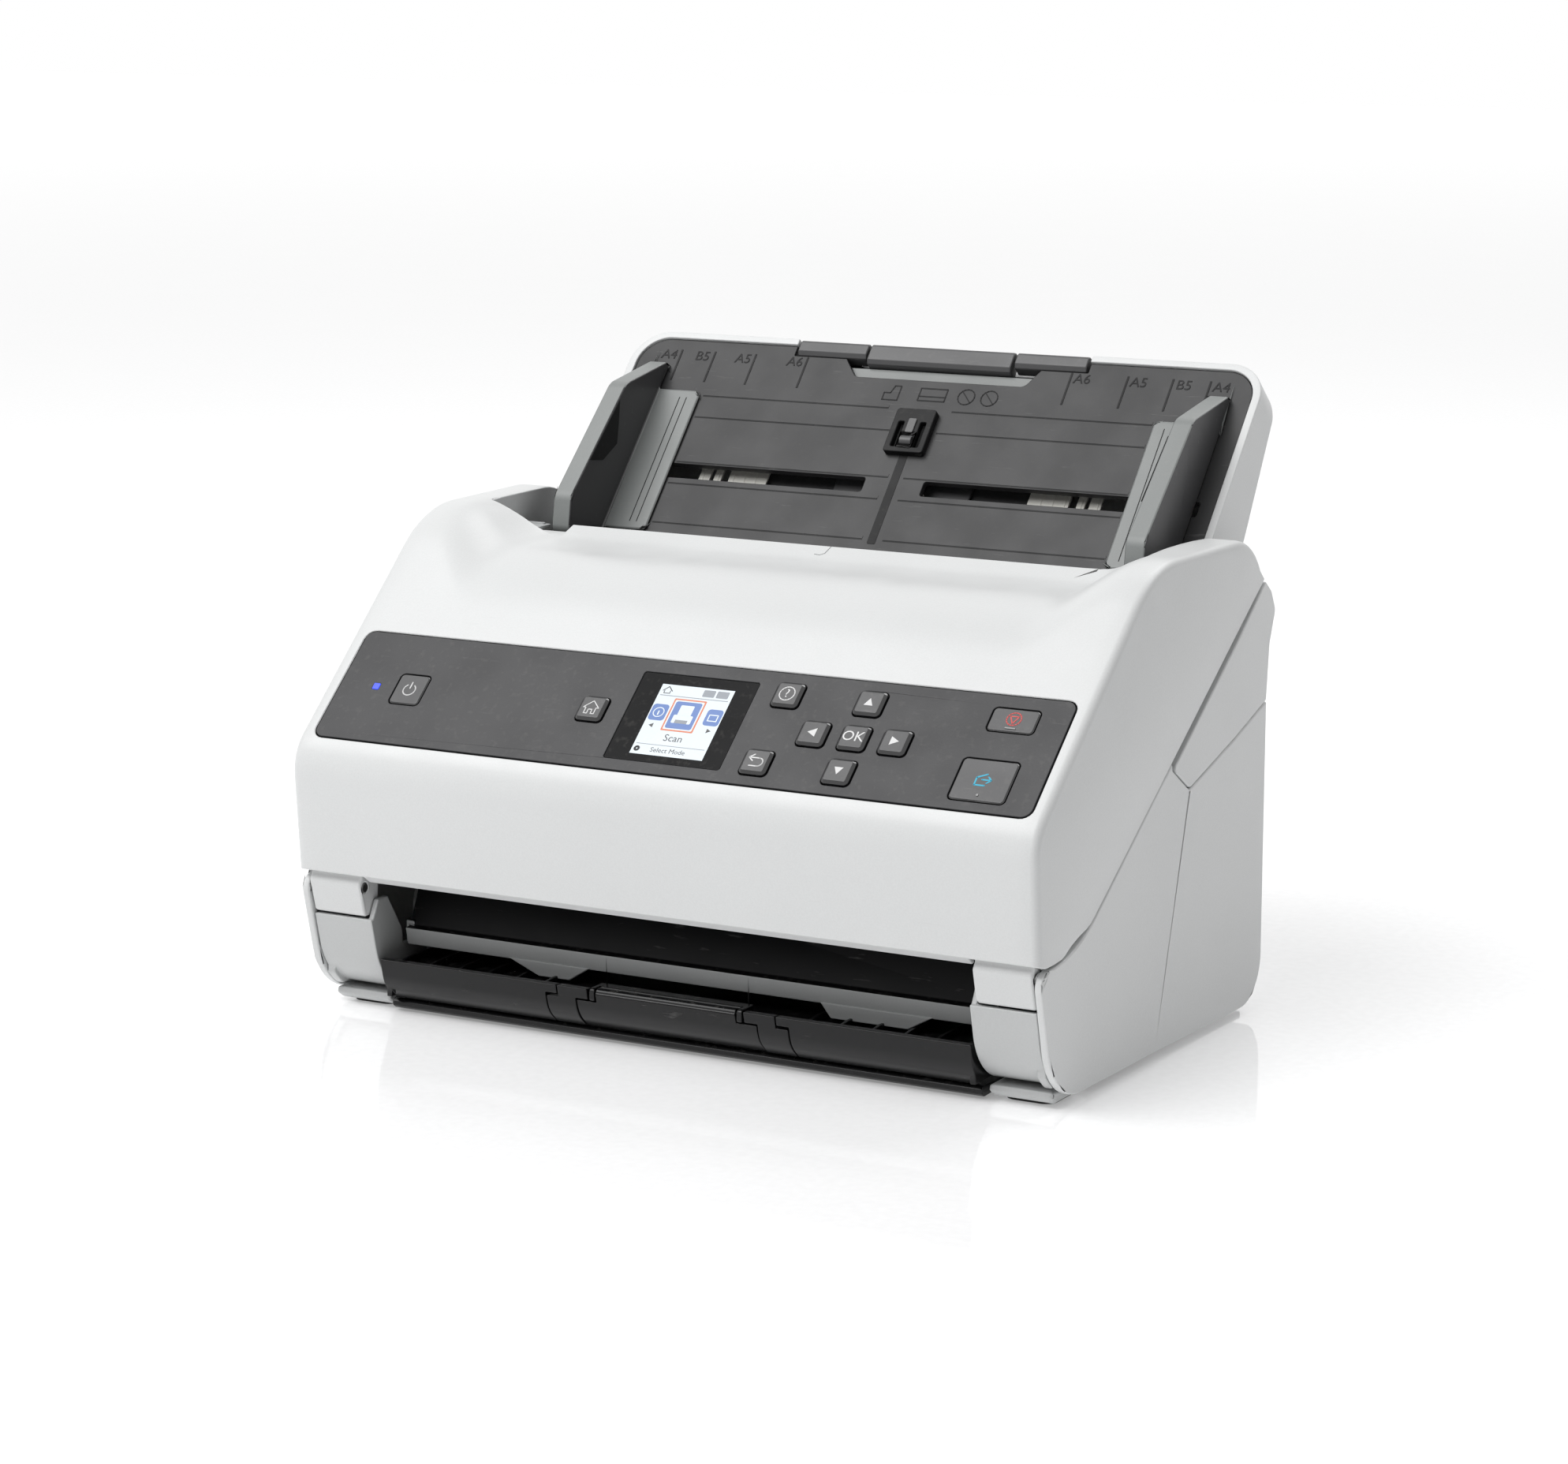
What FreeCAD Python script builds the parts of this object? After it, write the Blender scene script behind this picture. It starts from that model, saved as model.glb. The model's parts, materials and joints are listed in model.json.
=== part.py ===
import FreeCAD, Part
import math
import os

Vector = FreeCAD.Vector

# A sheet-fed document scanner, in millimetres. X runs from the user's left to right, Y from the front
# to the rear and Z up. The origin is on the table, below the middle of the object's box.

# ---- driving dimensions ----
HALF_WIDTH = 138.6          # half the width at the front
FLARE = 3.0                 # each side is this much wider at the rear cheeks
FRONT_Y = -103.6            # lower front edge of the cover
REAR_Y = 62.0               # rear face of the base
CHEEK_TOP = 163.0           # top of the two cheeks beside the feed slot
LIP_Y = 15.0                # front edge of the feed slot
LIP_Z = 153.8
WALL = 2.5                  # shell thickness
SEAM = 0.35                 # half of a visible seam between shells

TRAY_TILT = 49.0            # input tray against the table, degrees
TRAY_ORIGIN = (85.3, 197.8)     # (y, z) of the tray frame's zero, near its top edge
TRAY_HALF = 125.0           # half width of the tray's shell
TRAY_TOP = 20.7             # along the tray from its zero
TRAY_DEPTH = (11.5, 22.3)       # thickness of the tray's shell near its top and near the base

PATH_TILT = 36.0            # sheet path inside the machine, degrees
PATH_ORIGIN = (20.0, 122.6)     # (y, z) where the tray meets the path
DECK_HALF = 110.0           # half width of the sheet path

PANEL_TILT = 41.64          # control panel, degrees
PANEL_CENTRE = (-83.9, 110.5)   # (y, z) of its middle
PANEL_HALF = (133.3, 22.7)
PANEL_THICK = 2.0

HINGE = (-98.6, 44.5)       # (y, z) of the cover's hinge
PIN_R = 1.5
RUNNING = 0.05              # radial clearance of a running fit

GUIDE_X = 107.5             # inner face of each edge guide
SHELL_TOP_SLOPE = math.tan(math.radians(PANEL_TILT))


# ---- geometry helpers ----
def yz(a, b):
    """A point of a side outline."""
    return Vector(0, a, b)


def xz(a, b):
    """A point of a front outline."""
    return Vector(a, 0, b)


def xy(a, b):
    """A point of a plan outline."""
    return Vector(a, b, 0)


def outline(points, place):
    """A closed wire through (a, b) or (a, b, radius) corners, with a tangent arc at each radius."""
    stops = []
    count = len(points)
    for i, corner in enumerate(points):
        here = place(corner[0], corner[1])
        radius = corner[2] if len(corner) > 2 else 0
        if radius == 0:
            stops.append((here, None, here))
            continue
        before = points[i - 1]
        after = points[(i + 1) % count]
        back = (place(before[0], before[1]) - here).normalize()
        ahead = (place(after[0], after[1]) - here).normalize()
        half = back.getAngle(ahead) / 2
        run = radius / math.tan(half)
        middle = (back + ahead).normalize()
        bulge = here + middle * (radius / math.sin(half) - radius)
        stops.append((here + back * run, bulge, here + ahead * run))
    edges = []
    for i, (start, bulge, end) in enumerate(stops):
        if bulge is not None:
            edges.append(Part.Arc(start, bulge, end).toShape())
        following = stops[(i + 1) % count][0]
        if end.distanceToPoint(following) > 1e-6:
            edges.append(Part.LineSegment(end, following).toShape())
    return Part.Wire(edges)


def prism(points, place, low, high, axis):
    """An outline drawn at zero, moved to low and extruded to high along an axis."""
    face = Part.Face(outline(points, place))
    face.translate(axis * low)
    return face.extrude(axis * (high - low))


def side_prism(points, x0, x1):
    return prism(points, yz, x0, x1, Vector(1, 0, 0))


def front_prism(points, y0, y1):
    return prism(points, xz, y0, y1, Vector(0, 1, 0))


def plan_prism(points, z0, z1):
    return prism(points, xy, z0, z1, Vector(0, 0, 1))


def block(x0, x1, y0, y1, z0, z1, radius=0.0):
    """A box, its four upright corners rounded."""
    corners = [(x0, y0, radius), (x1, y0, radius), (x1, y1, radius), (x0, y1, radius)]
    return plan_prism(corners, z0, z1)


def rod(x0, x1, y, z, radius):
    """A cylinder along X."""
    return Part.makeCylinder(radius, x1 - x0, Vector(x0, y, z), Vector(1, 0, 0))


def join(shapes):
    shapes = list(shapes)
    if len(shapes) == 1:
        return shapes[0]
    return shapes[0].multiFuse(shapes[1:]).removeSplitter()


def mirrored(shape):
    """The same shape on the other side of the middle plane."""
    return shape.mirror(Vector(0, 0, 0), Vector(1, 0, 0))


def both_sides(shape):
    return [shape, mirrored(shape)]


def on_slope(shape, origin, tilt):
    """Puts a shape drawn flat (x, up the slope, out of it) onto a slope."""
    placed = shape.copy()
    placed.rotate(Vector(0, 0, 0), Vector(1, 0, 0), tilt)
    placed.translate(Vector(0, origin[0], origin[1]))
    return placed


def on_tray(shape):
    return on_slope(shape, TRAY_ORIGIN, TRAY_TILT)


def on_path(shape):
    return on_slope(shape, PATH_ORIGIN, PATH_TILT)


def on_panel(shape):
    return on_slope(shape, PANEL_CENTRE, PANEL_TILT)


def slope_point(origin, tilt, along, out):
    """(y, z) of a point given along and out of a slope."""
    c = math.cos(math.radians(tilt))
    s = math.sin(math.radians(tilt))
    return (origin[0] + along * c - out * s, origin[1] + along * s + out * c)


def path_point(along, out):
    """Along counts down the path, towards the output opening."""
    return slope_point(PATH_ORIGIN, PATH_TILT, -along, out)


def tray_point(along, out):
    return slope_point(TRAY_ORIGIN, TRAY_TILT, along, out)


def save(name, shape):
    """Writes one node, from one shape or from a list of separate solids."""
    if isinstance(shape, list):
        shape = Part.makeCompound(shape)
    bad = [solid for solid in shape.Solids if not solid.isValid() or solid.Volume <= 0]
    if bad or not shape.Solids:
        raise RuntimeError(name + " is not a set of valid solids")
    shape.exportStep("parts/" + name + ".step")


# ---- outlines shared by the shells ----
def slope_z(y, inset=0.0):
    """Height of the cover's straight front slope at y."""
    return 95.35 + (y + 100.8) * SHELL_TOP_SLOPE - inset / math.cos(math.radians(PANEL_TILT))


def slope_y(z, inset=0.0):
    return -100.8 + (z - 95.35 + inset / math.cos(math.radians(PANEL_TILT))) / SHELL_TOP_SLOPE


PARTING_REAR = (59.4, 148.0)
PARTING_SLOPE = math.tan(math.radians(PATH_TILT))
PARTING_LOW = 47.5
PARTING_KNEE = PARTING_REAR[0] - (PARTING_REAR[1] - PARTING_LOW) / PARTING_SLOPE


def plan_outline(inset=0.0, rear=80.0):
    """The object's plan: straight front, rounded corners, sides that widen towards the rear."""
    front = HALF_WIDTH - inset
    wide = HALF_WIDTH + FLARE - inset
    corners = [(front, -107.0 + inset, 4.0), (front + 1.2, -20), (wide, 36), (wide, rear)]
    return corners + [(-x, *rest) for x, *rest in reversed(corners)]


def front_lean(z):
    """Y of the cover's front face, which leans a little forward as it rises."""
    return FRONT_Y - (z - 49.6) * 0.078


def cheek_profile():
    """Side outline of the cover through its cheeks, down to the seam."""
    nose = 90.1
    return [(front_lean(49.6), 49.6, 1.0), (front_lean(nose), nose, 22), (slope_y(CHEEK_TOP), CHEEK_TOP, 45),
            (51.7, CHEEK_TOP, 23.5), (58.05, 147.02 + SEAM),
            (PARTING_KNEE, PARTING_LOW + SEAM, 55), (-99.0, PARTING_LOW + SEAM + 0.4)]


def cover_shell():
    """White cover: front, slope and two cheeks, with the control panel's seat and the feed lip."""
    outer = side_prism(cheek_profile(), -150, 150).common(plan_prism(plan_outline(), 20, 200))
    valley_z = 150.3
    valley = side_prism([(slope_y(valley_z), valley_z, 60), (5, valley_z), (LIP_Y, LIP_Z), (LIP_Y, 175),
                         (slope_y(175), 175)], -102, 102)
    ramp = front_prism([(101.5, valley_z), (129, CHEEK_TOP + 0.5), (129, 180), (101.5, 180)], -50, LIP_Y + 0.1)
    throat = plan_prism([(-128, 80), (-128, LIP_Y), (100.5, LIP_Y), (116, LIP_Y + 2.5), (128, 35.6), (128, 80)],
                        20, 200)
    pocket = side_prism([(-1, 164), (6.5, 155.5, 5), (6.5, 151.0), (LIP_Y + 1, 151.0), (LIP_Y + 1, 170), (-1, 170)],
                        -128, -103)
    shape = outer.cut(valley).cut(ramp).cut(mirrored(ramp)).cut(throat).cut(pocket)
    nose = 90.1
    roof = valley_z - WALL
    hollow_side = [(front_lean(30) + WALL, 30), (front_lean(nose) + WALL, nose - 1, 20),
                   (slope_y(roof, WALL), roof, 55), (LIP_Y - 2.6, roof), (LIP_Y - 1.6, 149.2),
                   (LIP_Y + 1, 149.2), (LIP_Y + 1, 30)]
    hollow = side_prism(hollow_side, -HALF_WIDTH + WALL, HALF_WIDTH - WALL)
    cheek_hollow = join([front_prism([(106, roof - 2), (131, 158.5), (136.5, 159.5), (136.5, roof - 2)], -19, -4),
                         block(130.8, 137.0, -19, 51, 60, 158.0, 2.0)])
    shape = shape.cut(hollow).cut(cheek_hollow).cut(mirrored(cheek_hollow))
    shape = shape.cut(block(-128.5, 128.5, LIP_Y - 1.5, 80, 0, 146))
    shape = shape.cut(block(*SELECTOR_SLOT, 140, 152))
    lip = side_prism([(front_lean(49.6) + 0.4, 49.9), (-98.0, 46.2, 1.0), (-96.9, 47.2), (-100.4, 52.5),
                      (front_lean(53) + 1.0, 53)], -113.4, 113.4)
    seat_x, seat_v = PANEL_HALF[0] + 0.5, PANEL_HALF[1] + 0.5
    seat = on_panel(block(-seat_x, seat_x, -seat_v, seat_v, -PANEL_THICK - 0.1, 12, 4.0))
    window = on_panel(block(-seat_x + 3, seat_x - 3, -seat_v + 2.2, seat_v - 2.2, -12, 0, 3.0))
    ledge = on_panel(block(-seat_x - 1.0, seat_x + 1.0, -seat_v - 1.5, seat_v + 1.5, -4.2, -PANEL_THICK, 4.0))
    ledge = ledge.common(outer)
    return join([shape, lip, ledge]).cut(seat).cut(window)


def cover_frame():
    """Black inner frame of the cover: upper sheet guide, rear wall of the throat and two side webs."""
    low, high = 2.0, 4.5
    upper_end, lower_end = -5.0, -127.0
    plate = on_path(block(-DECK_HALF, DECK_HALF, lower_end, upper_end, low, high))
    foot = path_point(5.0, low)
    wall = side_prism([foot, (LIP_Y - 0.4, 147.6), (LIP_Y - 2.9, 147.6), path_point(8.2, low)],
                      -DECK_HALF, DECK_HALF)
    web_line = [path_point(5.0, low), path_point(127, low), path_point(127, 16, ), (-58, 105), (-30, 130),
                (LIP_Y - 2.9, 146)]
    web = side_prism(web_line, DECK_HALF - 2.5, DECK_HALF)
    frame = join([plate, wall] + both_sides(web))
    roller_window = on_path(block(-24, 24, -SEPARATION_T - 9.5, -SEPARATION_T + 9.5, low - 1, high + 6, 1.5))
    frame = frame.cut(roller_window)
    glass_window = on_path(block(-105.3, 105.3, -UPPER_SENSOR_T - 7.3, -UPPER_SENSOR_T + 7.3, low - 1, high + 1))
    frame = frame.cut(glass_window)
    for x in EJECT_TYRES:
        frame = frame.cut(on_path(block(x - 9, x + 9, -EJECT_T - 7.5, -EJECT_T + 7.5, low - 1, high + 1, 1.0)))
    bores = [rod(-DECK_HALF - 1, DECK_HALF + 1, *SEPARATION_AXIS, 3.0 + RUNNING),
             rod(-DECK_HALF - 1, DECK_HALF + 1, *EJECT_IDLER_AXIS, 2.0 + RUNNING)]
    for bore in bores:
        frame = frame.cut(bore)
    return frame


# ---- rollers and drive ----
ROLLER_R = 9.0
FEED_T = 16.0
SEPARATION_T = FEED_T
EJECT_T = 100.0
LOWER_SENSOR_T = 50.0
UPPER_SENSOR_T = 70.0
EJECT_TYRES = (-72.0, -24.0, 24.0, 72.0)
EJECT_R = 8.0
IDLER_R = 6.0
NIP_GAP = 0.3
FEED_AXIS = path_point(FEED_T, 0.4 - ROLLER_R)
SEPARATION_AXIS = path_point(SEPARATION_T, 0.4 + NIP_GAP + ROLLER_R)
PICKUP_AXIS = tray_point(-84.0, 0.4 - ROLLER_R)
EJECT_AXIS = path_point(EJECT_T, 0.4 - EJECT_R)
EJECT_IDLER_AXIS = path_point(EJECT_T, 0.4 + NIP_GAP + IDLER_R)
MOTOR_AXIS = (-22.0, 47.0)
GEAR_MODULE = 0.8
DRIVE_TEETH = 20
IDLER_TEETH = 22
FRAME_IN = 111.5            # inner face of each steel side frame
FRAME_OUT = 113.0
GEAR_X = (114.0, 119.0)
BELT_X = (-120.0, -115.0)
PULLEY_R = 6.0
SHAFT_R = 3.0


def gear_wire(teeth, module, phase):
    """Involute teeth about the origin of the YZ plane, a tooth centred on phase (radians)."""
    pitch_r = teeth * module / 2
    base_r = pitch_r * math.cos(math.radians(20))
    tip_r = pitch_r + module
    root_r = pitch_r - 1.25 * module
    half_tooth = math.pi / (2 * teeth) - 0.09 / pitch_r

    def flank(r):
        turn = math.acos(min(1.0, base_r / r))
        return math.tan(turn) - turn

    points = []
    radii = [max(base_r, root_r) + (tip_r - max(base_r, root_r)) * i / 4 for i in range(5)]
    for tooth in range(teeth):
        centre = phase + 2 * math.pi * tooth / teeth
        widths = [half_tooth + flank(pitch_r) - flank(r) for r in radii]
        points.append((root_r, centre - widths[0] - 0.02))
        points += [(r, centre - w) for r, w in zip(radii, widths)]
        points += [(r, centre + w) for r, w in reversed(list(zip(radii, widths)))]
        points.append((root_r, centre + widths[0] + 0.02))
    return outline([(r * math.cos(a), r * math.sin(a)) for r, a in points], yz)


def gear(teeth, module, axis, phase, x0, x1):
    face = Part.Face(gear_wire(teeth, module, phase))
    face.translate(Vector(x0, axis[0], axis[1]))
    return face.extrude(Vector(x1 - x0, 0, 0))


def direction(start, end):
    return math.atan2(end[1] - start[1], end[0] - start[0])


def third_point(first, second, r1, r2):
    """The point at r1 from first and r2 from second, on the lower side."""
    span = math.hypot(second[0] - first[0], second[1] - first[1])
    along = (r1 * r1 - r2 * r2 + span * span) / (2 * span)
    off = math.sqrt(max(0.0, r1 * r1 - along * along))
    heading = direction(first, second)
    return (first[0] + along * math.cos(heading) + off * math.sin(heading),
            first[1] + along * math.sin(heading) - off * math.cos(heading))


MESH_RADIUS = GEAR_MODULE * (DRIVE_TEETH + IDLER_TEETH) / 2
IDLER_AXIS = third_point(FEED_AXIS, PICKUP_AXIS, MESH_RADIUS, MESH_RADIUS)
FEED_PHASE = direction(FEED_AXIS, IDLER_AXIS)
IDLER_PHASE = FEED_PHASE + math.pi + math.pi / IDLER_TEETH
PICKUP_LINE = direction(IDLER_AXIS, PICKUP_AXIS)
IDLER_STEP = 2 * math.pi / IDLER_TEETH
IDLER_OFFSET = (IDLER_PHASE - PICKUP_LINE + IDLER_STEP / 2) % IDLER_STEP - IDLER_STEP / 2
PICKUP_PHASE = PICKUP_LINE + math.pi - IDLER_OFFSET * IDLER_TEETH / DRIVE_TEETH + math.pi / DRIVE_TEETH


def feed_roller():
    """Moulded drive shaft with its gear on the right and its belt pulley on the left."""
    core = join([rod(BELT_X[0] - 0.5, GEAR_X[1] + 1.0, *FEED_AXIS, SHAFT_R),
                 rod(-22, 22, *FEED_AXIS, 6.0),
                 rod(BELT_X[0] + 0.2, BELT_X[1] - 0.2, *FEED_AXIS, PULLEY_R),
                 rod(BELT_X[1] - 0.2, BELT_X[1] + 0.6, *FEED_AXIS, PULLEY_R + 1.6),
                 rod(BELT_X[0] - 0.6, BELT_X[0] + 0.2, *FEED_AXIS, PULLEY_R + 1.6)])
    return core.fuse(gear(DRIVE_TEETH, GEAR_MODULE, FEED_AXIS, FEED_PHASE, *GEAR_X))


def tyres(axis, places, half_width, outer, inner):
    """Rubber rings around a shaft."""
    return [rod(x - half_width, x + half_width, *axis, outer).cut(rod(x - 30, x + 30, *axis, inner))
            for x in places]


def eject_roller():
    core = [rod(BELT_X[0] - 0.5, 116.0, *EJECT_AXIS, SHAFT_R),
            rod(BELT_X[0] + 0.2, BELT_X[1] - 0.2, *EJECT_AXIS, PULLEY_R),
            rod(BELT_X[1] - 0.2, BELT_X[1] + 0.6, *EJECT_AXIS, PULLEY_R + 1.6),
            rod(BELT_X[0] - 0.6, BELT_X[0] + 0.2, *EJECT_AXIS, PULLEY_R + 1.6)]
    core += [rod(x - 7, x + 7, *EJECT_AXIS, 5.0) for x in EJECT_TYRES]
    return join(core)


def pickup_roller():
    """Two grooved rubber tyres on one shaft, with the driven gear at the right."""
    core = [rod(-30, GEAR_X[1] + 1.0, *PICKUP_AXIS, SHAFT_R)]
    core += [rod(x - 8, x + 8, *PICKUP_AXIS, ROLLER_R) for x in (-18, 18)]
    grooves = [rod(x - 0.6, x + 0.6, *PICKUP_AXIS, ROLLER_R + 1).cut(rod(x - 1, x + 1, *PICKUP_AXIS, ROLLER_R - 1))
               for x in (-22, -18, -14, 14, 18, 22)]
    shape = join(core)
    for groove in grooves:
        shape = shape.cut(groove)
    return shape.fuse(gear(DRIVE_TEETH, GEAR_MODULE, PICKUP_AXIS, PICKUP_PHASE, *GEAR_X))


def idler_gear():
    """Intermediate gear on a stud of the right side frame."""
    wheel = gear(IDLER_TEETH, GEAR_MODULE, IDLER_AXIS, IDLER_PHASE, *GEAR_X)
    return wheel.cut(rod(GEAR_X[0] - 1, GEAR_X[1] + 1, *IDLER_AXIS, 2.0 + RUNNING))


def separation_roller():
    """Retard roller in the cover, on a long pivot shaft with a slipping hub."""
    core = [rod(-DECK_HALF + 0.2, DECK_HALF - 0.2, *SEPARATION_AXIS, 3.0),
            rod(-19, 19, *SEPARATION_AXIS, ROLLER_R)]
    shape = join(core)
    for x in (-12, -6, 0, 6, 12):
        ring = rod(x - 0.6, x + 0.6, *SEPARATION_AXIS, ROLLER_R + 1)
        shape = shape.cut(ring.cut(rod(x - 1, x + 1, *SEPARATION_AXIS, ROLLER_R - 1)))
    return shape


def eject_idlers():
    core = [rod(-DECK_HALF + 0.2, DECK_HALF - 0.2, *EJECT_IDLER_AXIS, 2.0)]
    core += [rod(x - 7, x + 7, *EJECT_IDLER_AXIS, IDLER_R) for x in EJECT_TYRES]
    return join(core)


def motor_pulley():
    """Motor shaft with its toothed pulley."""
    x_in = -88.0
    return join([rod(BELT_X[0] - 0.5, x_in, *MOTOR_AXIS, 2.5),
                 rod(BELT_X[0] + 0.2, BELT_X[1] - 0.2, *MOTOR_AXIS, PULLEY_R),
                 rod(BELT_X[1] - 0.2, BELT_X[1] + 0.6, *MOTOR_AXIS, PULLEY_R + 1.6)])


def drive_motor():
    """Can of the feed motor with its flange, bored for the shaft."""
    can = rod(-105.0, -75.0, *MOTOR_AXIS, 17.5)
    flange = block(-107.0, -105.0, MOTOR_AXIS[0] - 20, MOTOR_AXIS[0] + 20, MOTOR_AXIS[1] - 20,
                   MOTOR_AXIS[1] + 20)
    boss = rod(FRAME_IN * -1, -107.0, *MOTOR_AXIS, 6.0)
    bore = rod(-120, -86.0, *MOTOR_AXIS, 2.5 + RUNNING)
    return join([can, flange, boss]).cut(bore)


def drive_belt():
    """Flat loop round the motor, feed and eject pulleys."""
    gap = PULLEY_R + 0.25
    thick = 1.2
    corners = [yz(*MOTOR_AXIS), yz(*FEED_AXIS), yz(*EJECT_AXIS)]
    loop = Part.makePolygon(corners + [corners[0]])
    outer = Part.Face(loop.makeOffset2D(gap + thick))
    inner = Part.Face(loop.makeOffset2D(gap))
    ring = outer.cut(inner)
    ring.translate(Vector(BELT_X[0] + 0.6, 0, 0))
    return ring.extrude(Vector(BELT_X[1] - BELT_X[0] - 1.2, 0, 0))


def side_frames():
    """Two steel plates that carry the rollers, with bores for the shafts and a stud for the idler."""
    edge = [(56, 8, 4), (56, 112, 4), (46, 140, 4), path_point(-20, -4), path_point(20, -2.6),
            path_point(112, -2.6), (-74, 30, 4), (-62, 26), (-40, 26, 6), (-30, 8, 4)]
    frames = []
    for low in (FRAME_IN, -FRAME_OUT):
        plate = side_prism(edge, low, low + FRAME_OUT - FRAME_IN)
        for axis in (FEED_AXIS, PICKUP_AXIS, EJECT_AXIS):
            plate = plate.cut(rod(low - 1, low + 3, *axis, SHAFT_R + RUNNING))
        if low < 0:
            plate = plate.cut(rod(low - 1, low + 3, *MOTOR_AXIS, 2.5 + 0.6))
        else:
            plate = plate.fuse(rod(FRAME_IN + 0.5, GEAR_X[1] + 1, *IDLER_AXIS, 2.0))
        foot = block(low - 0.0, low + FRAME_OUT - FRAME_IN, -28, 54, 4.4, 8.5)
        frames.append(plate.fuse(foot).removeSplitter())
    return frames


# ---- base ----
def base_profile(gap=SEAM):
    """Side outline of the base below the seam."""
    return [(-102.9, PARTING_LOW - gap, 5), (-92.2, 3.0, 23), (REAR_Y, 3.0, 16), (REAR_Y, 112),
            (REAR_Y, 138.0, 10), (PARTING_REAR[0] + 0.2, PARTING_REAR[1] - gap),
            (PARTING_KNEE, PARTING_LOW - gap, 55)]


LEVER_RISE = math.radians(18.9)


def lever_pocket():
    return [(-10.3, 95.4), (-10.1, 94.4, 1.5), (2.4, 86.05, 3.4), (66, 107.05), (75, 155), (-8, 155)]


def base_shell():
    """White lower housing: two side walls, a rear rim and the pocket for the cover's lever."""
    outer = side_prism(base_profile(), -150, 150).common(plan_prism(plan_outline(), 0, 160))
    inside = [(-110, 60), (-110, -5), (REAR_Y - WALL, -5), (REAR_Y - WALL, 170), (-110, 170)]
    hollow = side_prism(inside, -136.0, 136.0)
    shape = outer.cut(hollow)
    shape = shape.cut(block(-118.3, 118.3, 50, 70, 11.7, 133.8))
    shape = shape.cut(block(-126.5, 126.5, 50, 70, 133.7, 160))
    shape = shape.cut(side_prism(lever_pocket(), 132, 150))
    shape = shape.cut(rod(130, 137.6, *HINGE, PIN_R))
    return shape.cut(rod(-137.6, -130, *HINGE, PIN_R))


def front_pillars():
    """Two front corner pieces beside the output opening, each with a peaked inner wall."""
    skin = [(-98.9, 33.6), (-92.2, 5.4, 23), (-72, 5.4), (-72, 7.6), (-90.6, 7.6, 20), (-96.3, 33.6)]
    wall = [(-96.4, 8), (-97.6, 33.6), (-94.4, 39.9), (-88.9, 40.1), (-80.8, 27.5), (-80.2, 22),
            (-66, 22), (-66, 5.4), (-88, 5.4)]
    solids = []
    front = [(-98.9, 33.6), (-92.2, 5.4, 23), (-60, 5.4), (-60, 45), (-97.0, 45)]
    inner = side_prism(wall, 112.4, 114.4).common(side_prism(front, 100, 130))
    piece = side_prism(skin, 112.4, 135.6).fuse(inner).removeSplitter()
    rib = block(132.6, 135.6, -92, -74, 7, 30).common(side_prism(base_profile(), 100, 150))
    piece = piece.fuse(rib).removeSplitter()
    for solid in both_sides(piece):
        solids.append(solid)
    return solids


def lower_deck():
    """Grey inner deck: sheet guide, exit front and the cross bar with its two tabs."""
    slope_end = path_point(106, 0)
    line = [path_point(0.5, 0), slope_end, (-79.6, 28.4), (-82.5, 28.0), (-81.2, 22.0), (-62, 22.0),
            (-62, 24.5), (-77.4, 24.5), path_point(103.5, -3), path_point(3.0, -3), path_point(0.5, -1.5)]
    deck = side_prism(line, -DECK_HALF, DECK_HALF)
    for x in (-60.0, 60.0):
        tab = front_prism([(x - 13, 22.5), (x + 13, 22.5), (x + 10, 20.3), (x - 10, 20.3)], -74.0, -66.0)
        deck = deck.fuse(tab)
    ends = block(DECK_HALF - 2, 111.3, -80, -64, 22.3, 30)
    deck = join([deck] + both_sides(ends))
    deck = deck.cut(on_path(block(-24, 24, -FEED_T - 9.6, -FEED_T + 9.6, -6, 1, 1.5)))
    low, high = -LOWER_SENSOR_T - 7.3, -LOWER_SENSOR_T + 7.3
    deck = deck.cut(on_path(block(-105.3, 105.3, low, high, -6, 1)))
    for x in EJECT_TYRES:
        deck = deck.cut(on_path(block(x - 9, x + 9, -EJECT_T - 9.5, -EJECT_T + 9.0, -6, 1, 1.0)))
    return deck


def sensor(centre_t, out0, out1):
    """Contact image sensor bar beside the sheet path."""
    bar = block(-106, 106, -centre_t - 9, -centre_t + 9, out0, out1, 1.0)
    return on_path(bar)


def sensor_glass(centre_t, out0, out1):
    return on_path(block(-105, 105, -centre_t - 7.0, -centre_t + 7.0, out0, out1))


def rear_panel():
    """Rear cover with vents, the two socket windows and the lock slot."""
    panel = front_prism([(-118, 12, 3), (118, 12, 3), (118, 133.5), (-118, 133.5)], REAR_Y - 2.2, REAR_Y)
    for i in range(12):
        x = -48 + i * 6.0
        slot = front_prism([(x, 70, 1.2), (x + 2.6, 70, 1.2), (x + 2.6, 104, 1.2), (x, 104, 1.2)],
                           REAR_Y - 4, REAR_Y + 1)
        panel = panel.cut(slot)
    for x0, x1, z0, z1 in (DC_WINDOW, USB_WINDOW):
        panel = panel.cut(block(x0 - 0.3, x1 + 0.3, REAR_Y - 4, REAR_Y + 1, z0 - 0.3, z1 + 0.3))
    panel = panel.cut(block(96, 103, REAR_Y - 4, REAR_Y + 1, 30, 33))
    return panel


DC_WINDOW = (66.0, 77.0, 24.0, 35.0)
USB_WINDOW = (44.0, 56.0, 24.0, 35.0)
DC_CENTRE = (71.5, 29.5)


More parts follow.
